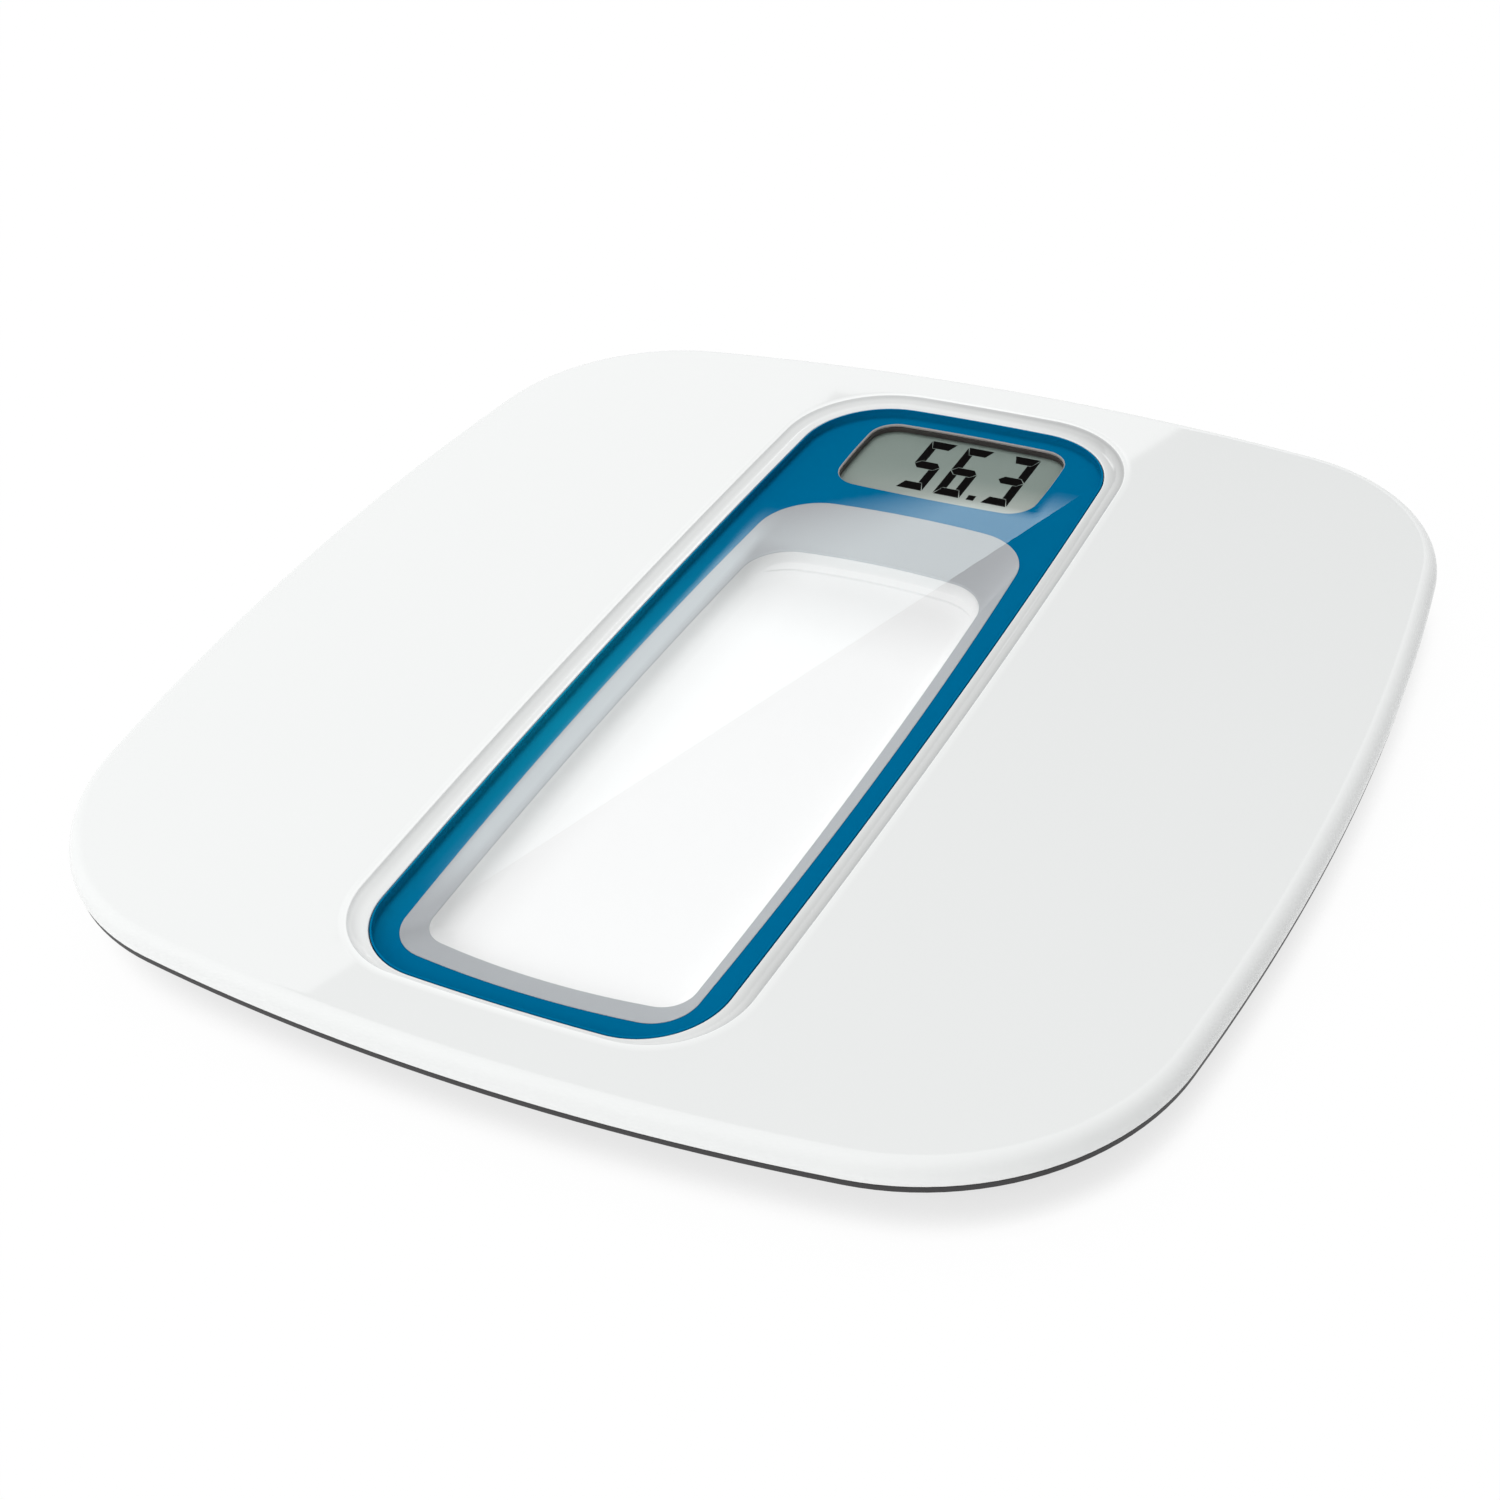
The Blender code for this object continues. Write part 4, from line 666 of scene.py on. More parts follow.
def rolled(name, colour, roughness, stretch):
    """Metal with fine lines left by rolling or turning, drawn out along a direction."""
    return material(name, [
        ("place", "TexCoord", {}),
        ("drawn", "Mapping", {"Scale": stretch, "Vector": ("place", "Object")}),
        ("lines", "TexNoise", {"Scale": 1.0, "Detail": 4.0, "Vector": ("drawn", 0)}),
        ("tone", "MapRange", {"To Min": 0.82, "To Max": 1.12, "Value": ("lines", "Fac")}),
        ("colour", "VectorMath", {"operation": "SCALE", 0: colour, 3: ("tone", 0)}),
        ("satin", "MapRange", {
            "To Min": roughness - 0.08, "To Max": roughness + 0.1, "Value": ("lines", "Fac")}),
        ("bump", "Bump", {"Distance": 4e-6, "Height": ("lines", "Fac")}),
        ("Principled BSDF", "BsdfPrincipled", {
            "Metallic": 1.0, "Base Color": ("colour", 0), "Roughness": ("satin", 0),
            "Normal": ("bump", "Normal")}),
    ])


rolled_steel = rolled("rolled_steel", (0.6, 0.6, 0.58), 0.32, (300, 6000, 6000))
dress(rolled_steel, "unit_switch", "battery_contact_negative", "battery_contact_positive",
      "load_cell_front_left", "load_cell_front_right", "load_cell_back_left", "load_cell_back_right")


# Plinth: the dark lower housing, moulded in grey ABS with a fine spark texture. Its flange clips up under the
# rim; it has holes for the feet and the button, screw posts, and a bay for the coin cell.
base_low, base_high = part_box("base_cover")
BASE_UNDER = base_low.z
BASE_FLOOR = BASE_UNDER + 2 * MM
BASE_INSET = 16.5 * MM
BASE_WALL = 2 * MM
BASE_EDGE = 1 * MM
ROUND_STEPS = 64
SCREW_NODES = [f"cover_screw_{number}" for number in range(1, 7)]
CORNERS = ("front_left", "front_right", "back_left", "back_right")


def middle_of(node):
    """Middle of a node's box."""
    low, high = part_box(node)
    return (low + high) / 2


def turned(name, profile, centre=(0, 0), ends="capped", steps=ROUND_STEPS):
    """A round piece from the radius and height of each step of its profile."""
    return skin(name, [lift(arc(centre, radius, 0, 2 * math.pi * (steps - 1) / steps, steps - 1), z)
                       for radius, z in profile], ends)


def slab(name, points, low, high):
    """A flat piece with a plan outline."""
    return skin(name, [lift(points, low), lift(points, high)])


def rectangle(left, right, front, back):
    """Corners of a rectangle, anticlockwise."""
    return [(left, front), (right, front), (right, back), (left, back)]


def rounded(left, right, front, back, radius, steps=8):
    """A rectangle with round corners, anticlockwise."""
    points = []
    for number, (x, y) in enumerate(((right, back), (left, back), (left, front), (right, front))):
        centre = (x + radius * (1 if x == left else -1), y + radius * (1 if y == front else -1))
        points += arc(centre, radius, number * math.pi / 2, (number + 1) * math.pi / 2, steps)
    return points


def shape(piece, tool, operation="DIFFERENCE"):
    """Apply a Boolean of a tool to a piece, and take the tool away."""
    modifier = piece.modifiers.new(operation, "BOOLEAN")
    modifier.operation = operation
    modifier.object = tool
    bpy.context.view_layer.objects.active = piece
    bpy.ops.object.modifier_apply(modifier=modifier.name)
    bpy.data.objects.remove(tool)


LIP_TOP = RIM_UNDER - FIT
LIP_UNDER = LIP_TOP - 1.9 * MM
LIP_EDGE = 0.5 * MM
LIP_EASE = 0.15 * MM
UPSTAND = 4.3 * MM
UPSTAND_EASE = 0.2 * MM
profile = [(BASE_INSET + BASE_WALL, BASE_FLOOR), (BASE_INSET + BASE_WALL, base_high.z),
           (UPSTAND + UPSTAND_EASE, base_high.z), (UPSTAND, base_high.z - UPSTAND_EASE), (UPSTAND, LIP_TOP),
           (RIM_TUCK + LIP_EASE, LIP_TOP), (RIM_TUCK, LIP_TOP - LIP_EASE)]
profile += [(RIM_TUCK + LIP_EDGE * (1 - run), LIP_UNDER + LIP_EDGE * (1 - fall)) for fall, run in quarter(5)]
profile += [(BASE_INSET - LIP_EDGE * (1 - fall), LIP_UNDER - LIP_EDGE * (1 - run))
            for fall, run in quarter(5)]
profile += [(BASE_INSET + BASE_EDGE * (1 - run), BASE_UNDER + BASE_EDGE * (1 - fall))
            for fall, run in quarter(6)]
plinth = skin("plinth", [platform_ring(inset, z) for inset, z in profile])
NUDGE = 0.01 * MM
HOLE_EASE = 0.4 * MM
CARRIER_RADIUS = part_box("load_cell_carrier_front_left")[1].x - middle_of("foot_cup_front_left").x
for corner in CORNERS:
    centre = middle_of(f"foot_pad_{corner}")
    hole = CARRIER_RADIUS + FIT
    shape(plinth, turned("hole", [(hole + HOLE_EASE, BASE_UNDER - NUDGE), (hole, BASE_UNDER + HOLE_EASE),
                                  (hole, BASE_FLOOR + FIT)], centre))
POST_RADIUS = 5 * MM
BORE_RADIUS = 3.3 * MM
SCREW_HOLE = 1.65 * MM
MOUTH_EASE = 0.3 * MM
POST_TOP = BASE_UNDER + 5.2 * MM
SCREW_SEAT = BASE_UNDER + 2.4 * MM
for node in SCREW_NODES:
    centre = middle_of(node)
    post = [(POST_RADIUS, BASE_UNDER + 1 * MM), (POST_RADIUS, POST_TOP)]
    shape(plinth, turned("post", post, centre, steps=32), "UNION")
    shape(plinth, turned("bore", [
        (BORE_RADIUS + MOUTH_EASE, BASE_UNDER - NUDGE), (BORE_RADIUS, BASE_UNDER + MOUTH_EASE),
        (BORE_RADIUS, SCREW_SEAT), (SCREW_HOLE, SCREW_SEAT), (SCREW_HOLE, POST_TOP + FIT)], centre, steps=32))
button_low, button_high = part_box("unit_button")
button_middle = (button_low + button_high) / 2
BUTTON_RADIUS = 4 * MM
button_hole = BUTTON_RADIUS + FIT
shape(plinth, turned("button_hole", [
    (button_hole + MOUTH_EASE, BASE_UNDER - NUDGE), (button_hole, BASE_UNDER + MOUTH_EASE),
    (button_hole, BASE_FLOOR + FIT)], button_middle, steps=48))
coin_low, coin_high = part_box("coin_cell")
coin_middle = (coin_low + coin_high) / 2
DOOR_HALF_LENGTH = 18 * MM
DOOR_HALF_WIDTH = 15 * MM
DOOR_CORNER = 3 * MM
BAY_WALL = 3.6 * MM
COIN_POCKET = 10.3 * MM
BAY_ROOF = coin_high.z + 0.9 * MM
BAY_TOP = BAY_ROOF + BASE_WALL
HOOK_SPACING = 16 * MM
HOOK_WIDTH = 5 * MM
HOOK_REACH = 2 * MM
HOOK_ROOM = 4.8 * MM
door_left = coin_middle.x - DOOR_HALF_LENGTH
door_right = coin_middle.x + DOOR_HALF_LENGTH
door_front = coin_middle.y - DOOR_HALF_WIDTH
door_back = coin_middle.y + DOOR_HALF_WIDTH


def door_plan(margin):
    """Plan of the battery door, or of its opening: square at the hinge and round at the free end."""
    front = door_front - margin
    back = door_back + margin
    corner = DOOR_CORNER + margin
    turn = door_right + margin - corner
    points = [(door_left - margin, front)] + arc((turn, front + corner), corner, -math.pi / 2, 0, 8)
    return points + arc((turn, back - corner), corner, 0, math.pi / 2, 8) + [(door_left - margin, back)]


bay = rounded(door_left - BAY_WALL, door_right + BAY_WALL, door_front - BAY_WALL, door_back + BAY_WALL,
              DOOR_CORNER)
shape(plinth, slab("bay", bay, BASE_UNDER + 1 * MM, BAY_TOP), "UNION")
shape(plinth, slab("door_opening", door_plan(FIT), BASE_UNDER - FIT, BASE_FLOOR + FIT))
shape(plinth, turned("coin_pocket", [(COIN_POCKET, BASE_UNDER), (COIN_POCKET, BAY_ROOF)], coin_middle))
contact_low, contact_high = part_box("battery_contact_positive")
shape(plinth, slab("contact_slot", rectangle(coin_middle.x, contact_high.x + FIT, contact_low.y - FIT,
                                             contact_high.y + FIT), BASE_UNDER + 1 * MM, coin_high.z + FIT))
hook_rows = [coin_middle.y - HOOK_SPACING / 2, coin_middle.y + HOOK_SPACING / 2]
for y in hook_rows:
    half = HOOK_WIDTH / 2 + FIT
    room = rectangle(door_left - HOOK_REACH - 2 * FIT, door_left + BAY_WALL, y - half, y + half)
    shape(plinth, slab("hook_room", room, BASE_FLOOR, BASE_FLOOR + HOOK_ROOM))
spark_grey = moulded("spark_grey_abs", (0.022, 0.021, 0.022), 0.5, 4e-5, grain=1500, tone=0.08, spread=0.06,
                     cloud=25)
fit(polish(plinth), spark_grey, "dark_grey_abs", "base_cover")


# Battery: a lithium coin cell in a pressed steel can, the red battery lead, and a small door that hooks into
# the plinth along its left edge and has a thumb scoop and grip grooves at the free end.
door_low, door_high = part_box("battery_door")
DOOR_THICKNESS = 1.6 * MM
hinge_radius = DOOR_THICKNESS / 2
DOOR_EDGE = 0.25 * MM


def eased(points, inset, centre):
    """Draw plan points in towards a centre by the same length each way."""
    return [(x - math.copysign(inset, x - centre.x), y - math.copysign(inset, y - centre.y))
            for x, y in points]


door_outline = door_plan(0)
door = skin("door", [
    lift(eased(door_outline, DOOR_EDGE, coin_middle), BASE_UNDER), lift(door_outline, BASE_UNDER + DOOR_EDGE),
    lift(door_outline, BASE_UNDER + DOOR_THICKNESS - DOOR_EDGE),
    lift(eased(door_outline, DOOR_EDGE, coin_middle), BASE_UNDER + DOOR_THICKNESS)])
hinge = (door_left + hinge_radius, BASE_UNDER + hinge_radius)
roll = arc(hinge, hinge_radius, math.pi / 2, 3 * math.pi / 2, 12)
PAST_DOOR = 1 * MM
roll += [(door_right + PAST_DOOR, BASE_UNDER), (door_right + PAST_DOOR, BASE_UNDER + DOOR_THICKNESS)]
ends = (door_front - PAST_DOOR, door_back + PAST_DOOR)
shape(door, skin("hinge_roll", [[(x, y, z) for x, z in roll] for y in ends]), "INTERSECT")
for y in hook_rows:
    front = y - HOOK_WIDTH / 2
    back = y + HOOK_WIDTH / 2
    riser = rectangle(door_left + FIT, door_left + DOOR_THICKNESS, front, back)
    shape(door, slab("riser", riser, BASE_UNDER + hinge_radius, door_high.z), "UNION")
    hook = rectangle(door_low.x, door_left + hinge_radius, front, back)
    shape(door, slab("hook", hook, BASE_FLOOR + FIT, door_high.z), "UNION")
SCOOP_RADIUS = 6 * MM
scoop = [(SCOOP_RADIUS, BASE_UNDER - hinge_radius), (SCOOP_RADIUS, BASE_UNDER + hinge_radius)]
shape(door, turned("scoop", scoop, (door_right + SCOOP_RADIUS / 2, coin_middle.y)))
GROOVE_HALF = 0.5 * MM
GROOVE_REACH = 7 * MM
GROOVE_PITCH = 2 * MM
GROOVE_DEPTH = 0.35 * MM
for number in range(4):
    x = door_right - GROOVE_REACH - number * GROOVE_PITCH
    groove = rounded(x - GROOVE_HALF, x + GROOVE_HALF, coin_middle.y - GROOVE_REACH,
                     coin_middle.y + GROOVE_REACH, 0.98 * GROOVE_HALF, 4)
    shape(door, slab("groove", groove, BASE_UNDER - FIT, BASE_UNDER + GROOVE_DEPTH))
fit(polish(door), spark_grey, "dark_grey_abs", "battery_door", body="battery_door")

COIN_EDGE = 0.3 * MM
coin_radius = coin_high.x - coin_middle.x
can = [(coin_radius - 1.6 * MM, coin_low.z + 0.08 * MM), (coin_radius - 1.4 * MM, coin_low.z)]
can += [(coin_radius - COIN_EDGE * (1 - run), coin_low.z + COIN_EDGE * (1 - fall))
        for run, fall in quarter(4)]
can += [(coin_radius - inset * MM, coin_high.z - drop * MM)
        for inset, drop in ((0, 0.5), (0.4, 0.25), (1, 0.25), (1.1, 0.05), (1.2, 0))]
coin_steel = rolled("coin_steel", (0.66, 0.65, 0.62), 0.25, (5200, 260, 5200))
fit(turned("coin_can", can, coin_middle), coin_steel, "steel", "coin_cell")
red_sleeve = moulded("red_sleeve", (0.36, 0.025, 0.022), 0.45, 8e-6, grain=1500, tone=0.06)
dress(red_sleeve, "battery_lead", *[f"load_cell_lead_{corner}" for corner in CORNERS])


# Feet: in each corner a ridged rubber pad is glued into a grey cup, which sits captive in a white carrier and
# bears on the steel load cell above it. All are turned or moulded round.
PAD_RADIUS = 16.5 * MM
PAD_TOP = 2 * MM
PAD_EDGE = 0.6 * MM
TREAD_PITCH = 2.5 * MM
TREAD_DEPTH = 0.4 * MM
tread = [(1.2 * MM, 0.35 * MM), (1.5 * MM, 0.0)]
for number in range(5):
    radius = 3.4 * MM + number * TREAD_PITCH
    tread += [(radius, 0.0), (radius + 0.25 * MM, TREAD_DEPTH), (radius + 0.75 * MM, TREAD_DEPTH),
              (radius + 1 * MM, 0.0)]
tread += [(PAD_RADIUS - PAD_EDGE * (1 - run), PAD_EDGE * (1 - fall)) for run, fall in quarter(4)]
pad = turned("pad", tread + [(PAD_RADIUS, PAD_TOP)])
cup_low, cup_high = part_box("foot_cup_front_left")
CUP_RADIUS = 17.8 * MM
CUP_FLANGE = 19.5 * MM
CUP_EDGE = 0.25 * MM
CUP_WALL = 1 * MM
CUP_ROOF = PAD_TOP + FIT
ROOF_TOP = CUP_ROOF + 1.9 * MM
PIN_RADIUS = 3.5 * MM
PIN_EDGE = 0.3 * MM
cup_bore = PAD_RADIUS + FIT
FLANGE_UNDER = BASE_UNDER + 2.4 * MM
cup = turned("cup", [
    (cup_bore, CUP_ROOF), (cup_bore, cup_low.z + CUP_EDGE), (cup_bore + CUP_EDGE, cup_low.z),
    (CUP_RADIUS - CUP_EDGE, cup_low.z), (CUP_RADIUS, cup_low.z + CUP_EDGE), (CUP_RADIUS, FLANGE_UNDER),
    (CUP_FLANGE, FLANGE_UNDER), (CUP_FLANGE, FLANGE_UNDER + CUP_WALL),
    (CUP_RADIUS - CUP_WALL, FLANGE_UNDER + CUP_WALL), (CUP_RADIUS - CUP_WALL, ROOF_TOP),
    (PIN_RADIUS, ROOF_TOP), (PIN_RADIUS, cup_high.z - PIN_EDGE), (PIN_RADIUS - PIN_EDGE, cup_high.z)])
carrier_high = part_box("load_cell_carrier_front_left")[1]
cell_low, cell_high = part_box("load_cell_front_left")
CARRIER_BORE = CUP_FLANGE + FIT
WEB_UNDER = cell_high.z + FIT
WEB_TOP = WEB_UNDER + 2.5 * MM
WEB_HOLE = 8.5 * MM
COLLAR_TOP = BASE_UNDER + 1.1 * MM
collar = CUP_RADIUS + FIT
carrier = turned("carrier", [
    (WEB_HOLE, WEB_UNDER), (CARRIER_BORE, WEB_UNDER), (CARRIER_BORE, COLLAR_TOP), (collar, COLLAR_TOP),
    (collar, BASE_UNDER + CUP_EDGE), (collar + CUP_EDGE, BASE_UNDER), (CARRIER_RADIUS - CUP_EDGE, BASE_UNDER),
    (CARRIER_RADIUS, BASE_UNDER + CUP_EDGE), (CARRIER_RADIUS, carrier_high.z), (CARRIER_BORE, carrier_high.z),
    (CARRIER_BORE, WEB_TOP), (WEB_HOLE, WEB_TOP)], ends="shut")
LEAD_GAP = 2.5 * MM
gap_middle = (cell_low.z + cell_high.z) / 2
shape(carrier, slab("lead_gap", rectangle(CUP_RADIUS, CARRIER_RADIUS + FIT, -LEAD_GAP, LEAD_GAP),
                    gap_middle - LEAD_GAP, WEB_UNDER + FIT))
polish(carrier)
tread_rubber = moulded("tread_rubber", (0.045, 0.045, 0.046), 0.8, 3e-5, grain=3000, tone=0.1, spread=0.05,
                       cloud=60)
white_carrier = moulded("white_carrier_abs", (0.74, 0.74, 0.72), 0.35, 6e-6, grain=1600, tone=0.02)


def another(piece, name, place, turn=0.0):
    """A copy of a piece with a mesh of its own, turned and set at a place."""
    pick(piece)
    bpy.ops.object.duplicate()
    copy = bpy.context.object
    copy.name = copy.data.name = name
    copy.data.transform(Matrix.Translation((place.x, place.y, 0)) @ Matrix.Rotation(turn, 4, "Z"))
    return copy


for corner in CORNERS:
    place = middle_of(f"foot_pad_{corner}")
    inward = math.pi if place.x > 0 else 0.0
    body = f"foot_{corner}"
    fit(another(pad, f"rubber_pad_{corner}", place), tread_rubber, "rubber", f"foot_pad_{corner}", body=body)
    fit(another(cup, f"grey_cup_{corner}", place), spark_grey, "dark_grey_abs", f"foot_cup_{corner}",
        body=body)
    fit(another(carrier, f"carrier_{corner}", place, inward), white_carrier, "white_abs",
        f"load_cell_carrier_{corner}")
for pattern in (pad, cup, carrier):
    bpy.data.objects.remove(pattern)


# Unit button: a natural nylon pin with a dished face, pushed up through the plinth's floor to the switch, and
# held by its flange.
PIN = 1.6 * MM
FLANGE_RADIUS = 5.5 * MM
flange = BASE_FLOOR + FIT
flange_top = flange + 0.9 * MM
dished = [(radius * MM, button_low.z + height * MM) for radius, height in (
    (0.6, 0.5), (1.6, 0.42), (2.6, 0.2), (3.3, 0.03), (3.6, 0), (3.9, 0.1), (4, 0.35))]
button = turned("button", dished + [
    (BUTTON_RADIUS, flange), (FLANGE_RADIUS, flange), (FLANGE_RADIUS, flange_top), (PIN, flange_top),
    (PIN, button_high.z)], button_middle, steps=48)
fit(button, nylon, "natural_plastic", "unit_button", body="unit_button")


# Cover screws: zinc-plated pan-head screws with a cross recess, driven up through the plinth's posts into the
# bosses under the platform.
screw_low, screw_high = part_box("cover_screw_1")
HEAD_TOP = SCREW_SEAT - FIT
HEAD_RADIUS = 3 * MM
SHANK_RADIUS = 1.35 * MM
THREAD_DEPTH = 0.3 * MM
THREAD_PITCH = 0.75 * MM
CROSS_HALF = 0.45 * MM
CROSS_REACH = 1.7 * MM
CROSS_TAPER = 0.6
dome_base = HEAD_TOP - 0.5 * MM
dome = [(HEAD_RADIUS * math.sin(turn), dome_base - (dome_base - screw_low.z) * math.cos(turn))
        for turn in (0.25, 0.5, 0.75, 1.0, 1.25, math.pi / 2)]
core = SHANK_RADIUS - THREAD_DEPTH
thread = []
z = HEAD_TOP + 0.6 * MM
while z < screw_high.z - 1.2 * MM:
    thread += [(core, z), (SHANK_RADIUS, z + THREAD_PITCH / 3), (core, z + 2 * THREAD_PITCH / 3)]
    z += THREAD_PITCH
screw = turned("screw", dome + [(HEAD_RADIUS, HEAD_TOP), (SHANK_RADIUS, HEAD_TOP)] + thread
               + [(core, screw_high.z - 0.6 * MM), (0.4 * MM, screw_high.z)], steps=32)
for x, y in ((CROSS_HALF, CROSS_REACH), (CROSS_REACH, CROSS_HALF)):
    deep_x = CROSS_TAPER * x
    deep_y = CROSS_TAPER * y
    shape(screw, skin("wing", [lift(rectangle(-x, x, -y, y), screw_low.z - 0.1 * MM),
                               lift(rectangle(-deep_x, deep_x, -deep_y, deep_y), screw_low.z + 1 * MM)]))
zinc = rolled("zinc_plate", (0.62, 0.62, 0.6), 0.3, (900, 900, 900))
polish(screw)
for number, node in enumerate(SCREW_NODES, 1):
    fit(another(screw, f"pan_screw_{number}", middle_of(node), 0.5 * number), zinc, "steel", node)
bpy.data.objects.remove(screw)


# Studio: a white sweep in a white tent, with a soft key high at the back left and a soft fill in front. White
# cards and a black flag overhead are what the flat top and the lens reflect; the lamps shine past them.
bpy.context.scene.view_settings.view_transform = "Standard"
FOCAL_LENGTH = 59.835
AZIMUTH = math.radians(30.071)
ELEVATION = math.radians(36.791)
ROLL = math.radians(-5.235)
TARGET = Vector((-0.00704, -0.0066, -0.00398))
DISTANCE = 0.6957
back = Vector((math.sin(AZIMUTH) * math.cos(ELEVATION), -math.cos(AZIMUTH) * math.cos(ELEVATION),
               math.sin(ELEVATION)))
right = Vector((math.cos(AZIMUTH), math.sin(AZIMUTH), 0))
up = back.cross(right)
across = right * math.cos(ROLL) + up * math.sin(ROLL)
upward = up * math.cos(ROLL) - right * math.sin(ROLL)
eye = TARGET + back * DISTANCE
lens_data = bpy.data.cameras.new("camera")
lens_data.lens = FOCAL_LENGTH
camera = bpy.data.objects.new("camera", lens_data)
camera.matrix_world = Matrix.Translation(eye) @ Matrix((across, upward, back)).transposed().to_4x4()
bpy.context.scene.collection.objects.link(camera)
bpy.context.scene.camera = camera

bpy.ops.object.select_all(action="DESELECT")
bpy.ops.mesh.primitive_plane_add(size=6)
floor = bpy.context.object
floor.name = "floor"
CONTACT_REACH = 20 * MM
SHOWN = [
    ("rays", "LightPath", {}),
    ("seen", "Math", {
        "operation": "MAXIMUM", 0: ("rays", "Is Camera Ray"), 1: ("rays", "Is Transmission Ray")}),
    ("shown", "Math", {"operation": "MAXIMUM", 0: ("seen", 0), 1: ("rays", "Is Glossy Ray")}),
]
# To the camera the sweep glows white with a painted shadow: ambient occlusion, tilted towards the key,
# darkens it under and beside the scale.
sweep = material("white_sweep", SHOWN + [
    ("paper", "BsdfDiffuse", {"Color": (1.0, 1.0, 1.0, 1)}),
    ("from_key", "CombineXYZ", {"X": -0.42, "Z": 0.91}),
    ("near", "AmbientOcclusion", {"Distance": CONTACT_REACH, "samples": 16, "Normal": ("from_key", 0)}),
    ("hidden", "Math", {"operation": "SUBTRACT", 0: 1.0, 1: ("near", "AO")}),
    ("under", "MapRange", {
        "From Min": 0.33, "From Max": 0.59, "To Min": 1.0, "To Max": 0.79, "Value": ("hidden", 0)}),
    ("beside", "MapRange", {
        "From Min": 0.73, "From Max": 0.79, "To Min": 1.0, "To Max": 0.85, "Value": ("hidden", 0)}),
    ("painted_floor_shadow", "Math", {"operation": "MULTIPLY", 0: ("under", 0), 1: ("beside", 0)}),
    ("level", "MapRange", {"To Min": 1.0, "Value": ("rays", "Is Camera Ray"), "To Max": ("painted_floor_shadow", 0)}),
    ("white", "Emission", {"Strength": ("level", 0)}),
    ("share", "Math", {"operation": "MULTIPLY", 1: 0.985, 0: ("shown", 0)}),
    ("mix", "MixShader", {0: ("share", 0), 1: ("paper", 0), 2: ("white", 0)}),
    ("Material Output", "OutputMaterial", {"Surface": ("mix", 0)}),
])
floor.data.materials.append(sweep)

world = bpy.data.worlds.new("white_tent")
bpy.context.scene.world = world
world.use_nodes = True
wire_up(world.node_tree, SHOWN + [
    ("level", "MapRange", {"To Min": 0.55, "To Max": 1.0, "Value": ("shown", 0)}),
    ("Background", "Background", {"Color": (1, 1, 1, 1), "Strength": ("level", 0)}),
])


def softbox(name, place, aim, size, power):
    """A square area lamp that points at a spot."""
    lamp = bpy.data.lights.new(name, "AREA")
    lamp.size = size
    lamp.energy = power
    holder = bpy.data.objects.new(name, lamp)
    holder.location = place
    holder.rotation_euler = (Vector(aim) - Vector(place)).to_track_quat("-Z", "Y").to_euler()
    bpy.context.scene.collection.objects.link(holder)
    return holder


key = softbox("key", (-0.8, 1.0, 2.6), (0, 0, 0), 1.4, 36)
key.visible_glossy = False
fill = softbox("fill", (-0.5, -2.1, 1.3), (0, 0, 0), 1.4, 24)
fill.visible_glossy = False

mirrored_eye = Vector((eye.x, eye.y, 2 * TOP - eye.z))


def card_point(x, y, height):
    """The place at a height that the camera sees reflected at a place on the platform."""
    spot = Vector((x, y, TOP))
    reach = (height - mirrored_eye.z) / (TOP - mirrored_eye.z)
    return mirrored_eye + (spot - mirrored_eye) * reach


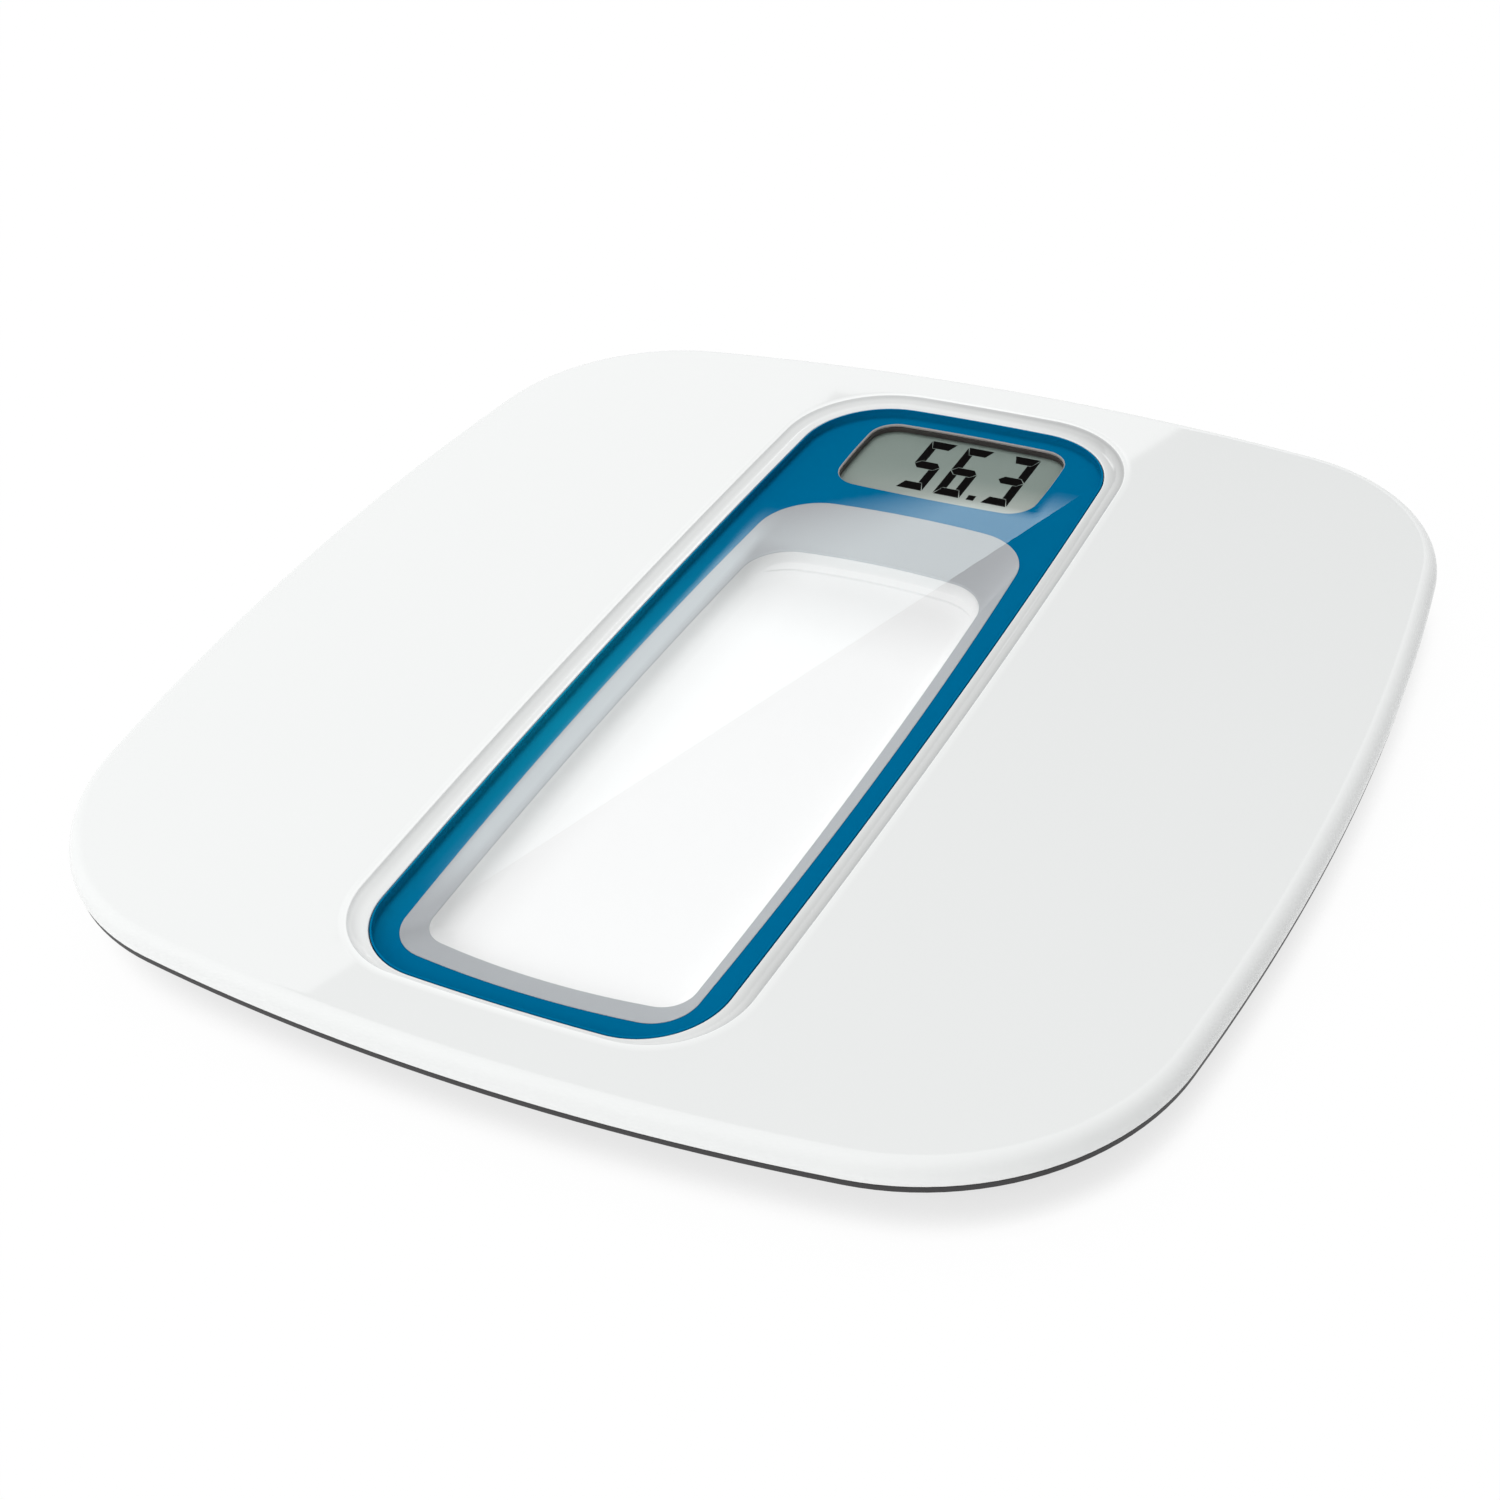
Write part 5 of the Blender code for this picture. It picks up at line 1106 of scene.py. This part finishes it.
def card(name, corners, strength, height=0.99):
    """A card that only reflections see, drawn by where it shows on the platform."""
    bpy.ops.object.select_all(action="DESELECT")
    bpy.ops.mesh.primitive_grid_add(x_subdivisions=96, y_subdivisions=96, size=2)
    piece = bpy.context.object
    piece.name = name
    glow = piece.data.attributes.new("glow", "FLOAT", "POINT")
    a, b, c, d = corners
    for number, vertex in enumerate(piece.data.vertices):
        u = (vertex.co.x + 1) / 2
        v = (vertex.co.y + 1) / 2
        x = (1 - v) * ((1 - u) * a[0] + u * b[0]) + v * ((1 - u) * d[0] + u * c[0])
        y = (1 - v) * ((1 - u) * a[1] + u * b[1]) + v * ((1 - u) * d[1] + u * c[1])
        vertex.co = card_point(x, y, height)
        glow.data[number].value = strength(x, y)
    surface = material(name, [
        ("glow", "Attribute", {"attribute_name": "glow"}),
        ("light", "Emission", {"Strength": ("glow", "Fac")}),
        ("Material Output", "OutputMaterial", {"Surface": ("light", 0)}),
    ])
    piece.data.materials.append(surface)
    piece.visible_camera = piece.visible_diffuse = piece.visible_shadow = piece.visible_transmission = False
    return piece


BAND_MIDDLE = 93.7 * MM


def on_edge(y):
    """Where the white cards' edge shows across the platform."""
    return (7.9 * MM + 0.327 * y, y)


def white(x, y):
    """The cards beside the strip are evenly lit."""
    return 1.2


def lens_glow(x, y):
    """In the lens the card fades to the left, and stops short of the blue at the left and of the display."""
    before = BAND_MIDDLE - y
    start = -12 * MM - 1.4 * before
    soft = 24 * MM + 0.9 * max(0.0, before)
    fade = clamped((x - start) / soft) * clamped((x + 43 * MM) / (9 * MM))
    fade *= clamped((y + 118 * MM) / (15 * MM))
    beside_display = clamped((x - 36 * MM) / (2 * MM)) * clamped((112 * MM - y) / (14 * MM))
    stop = max(clamped((98.8 * MM - y) / (2.5 * MM)), beside_display)
    drawn_in = 1.8 * MM * (max(0.0, -y) / (100 * MM)) ** 2
    band = clamped((x + 42.2 * MM - drawn_in) / (2.2 * MM)) * clamped((-33 * MM - x) / (3 * MM))
    band *= clamped((y + 125 * MM) / (30 * MM)) * clamped((75 * MM - y) / (30 * MM))
    return (1 + 1.6 * clamped((y - 53 * MM) / (6 * MM))) * fade * stop + 2.4 * band


FAR = 0.3
BESIDE = -50.9 * MM
card("black_flag", [(-0.175, -0.178), (0.172, -0.178), (0.172, 0.18), (-0.175, 0.18)], lambda x, y: 0.0, 1.0)
card("left_card", [(-FAR, -0.19), (BESIDE, -0.19), (BESIDE, FAR), (-FAR, FAR)], white)
card("front_card", [(BESIDE, -0.19), on_edge(-0.19), on_edge(-0.1452), (BESIDE, -0.1452)], white)
card("front_corner_card", [(BESIDE, -0.1452), on_edge(-0.1452), (-0.0441, -0.139), (BESIDE, -0.1225)], white)
card("back_card", [(BESIDE, 0.1443), on_edge(0.1443), on_edge(FAR), (BESIDE, FAR)], white)
card("back_corner_card", [on_edge(0.1273), on_edge(0.1443), (0.0285, 0.1443), (0.0418, 0.1379)], white)
card("lens_card", [(-0.05, -0.142), on_edge(-0.142), on_edge(0.116), (-0.05, 0.116)], lens_glow)
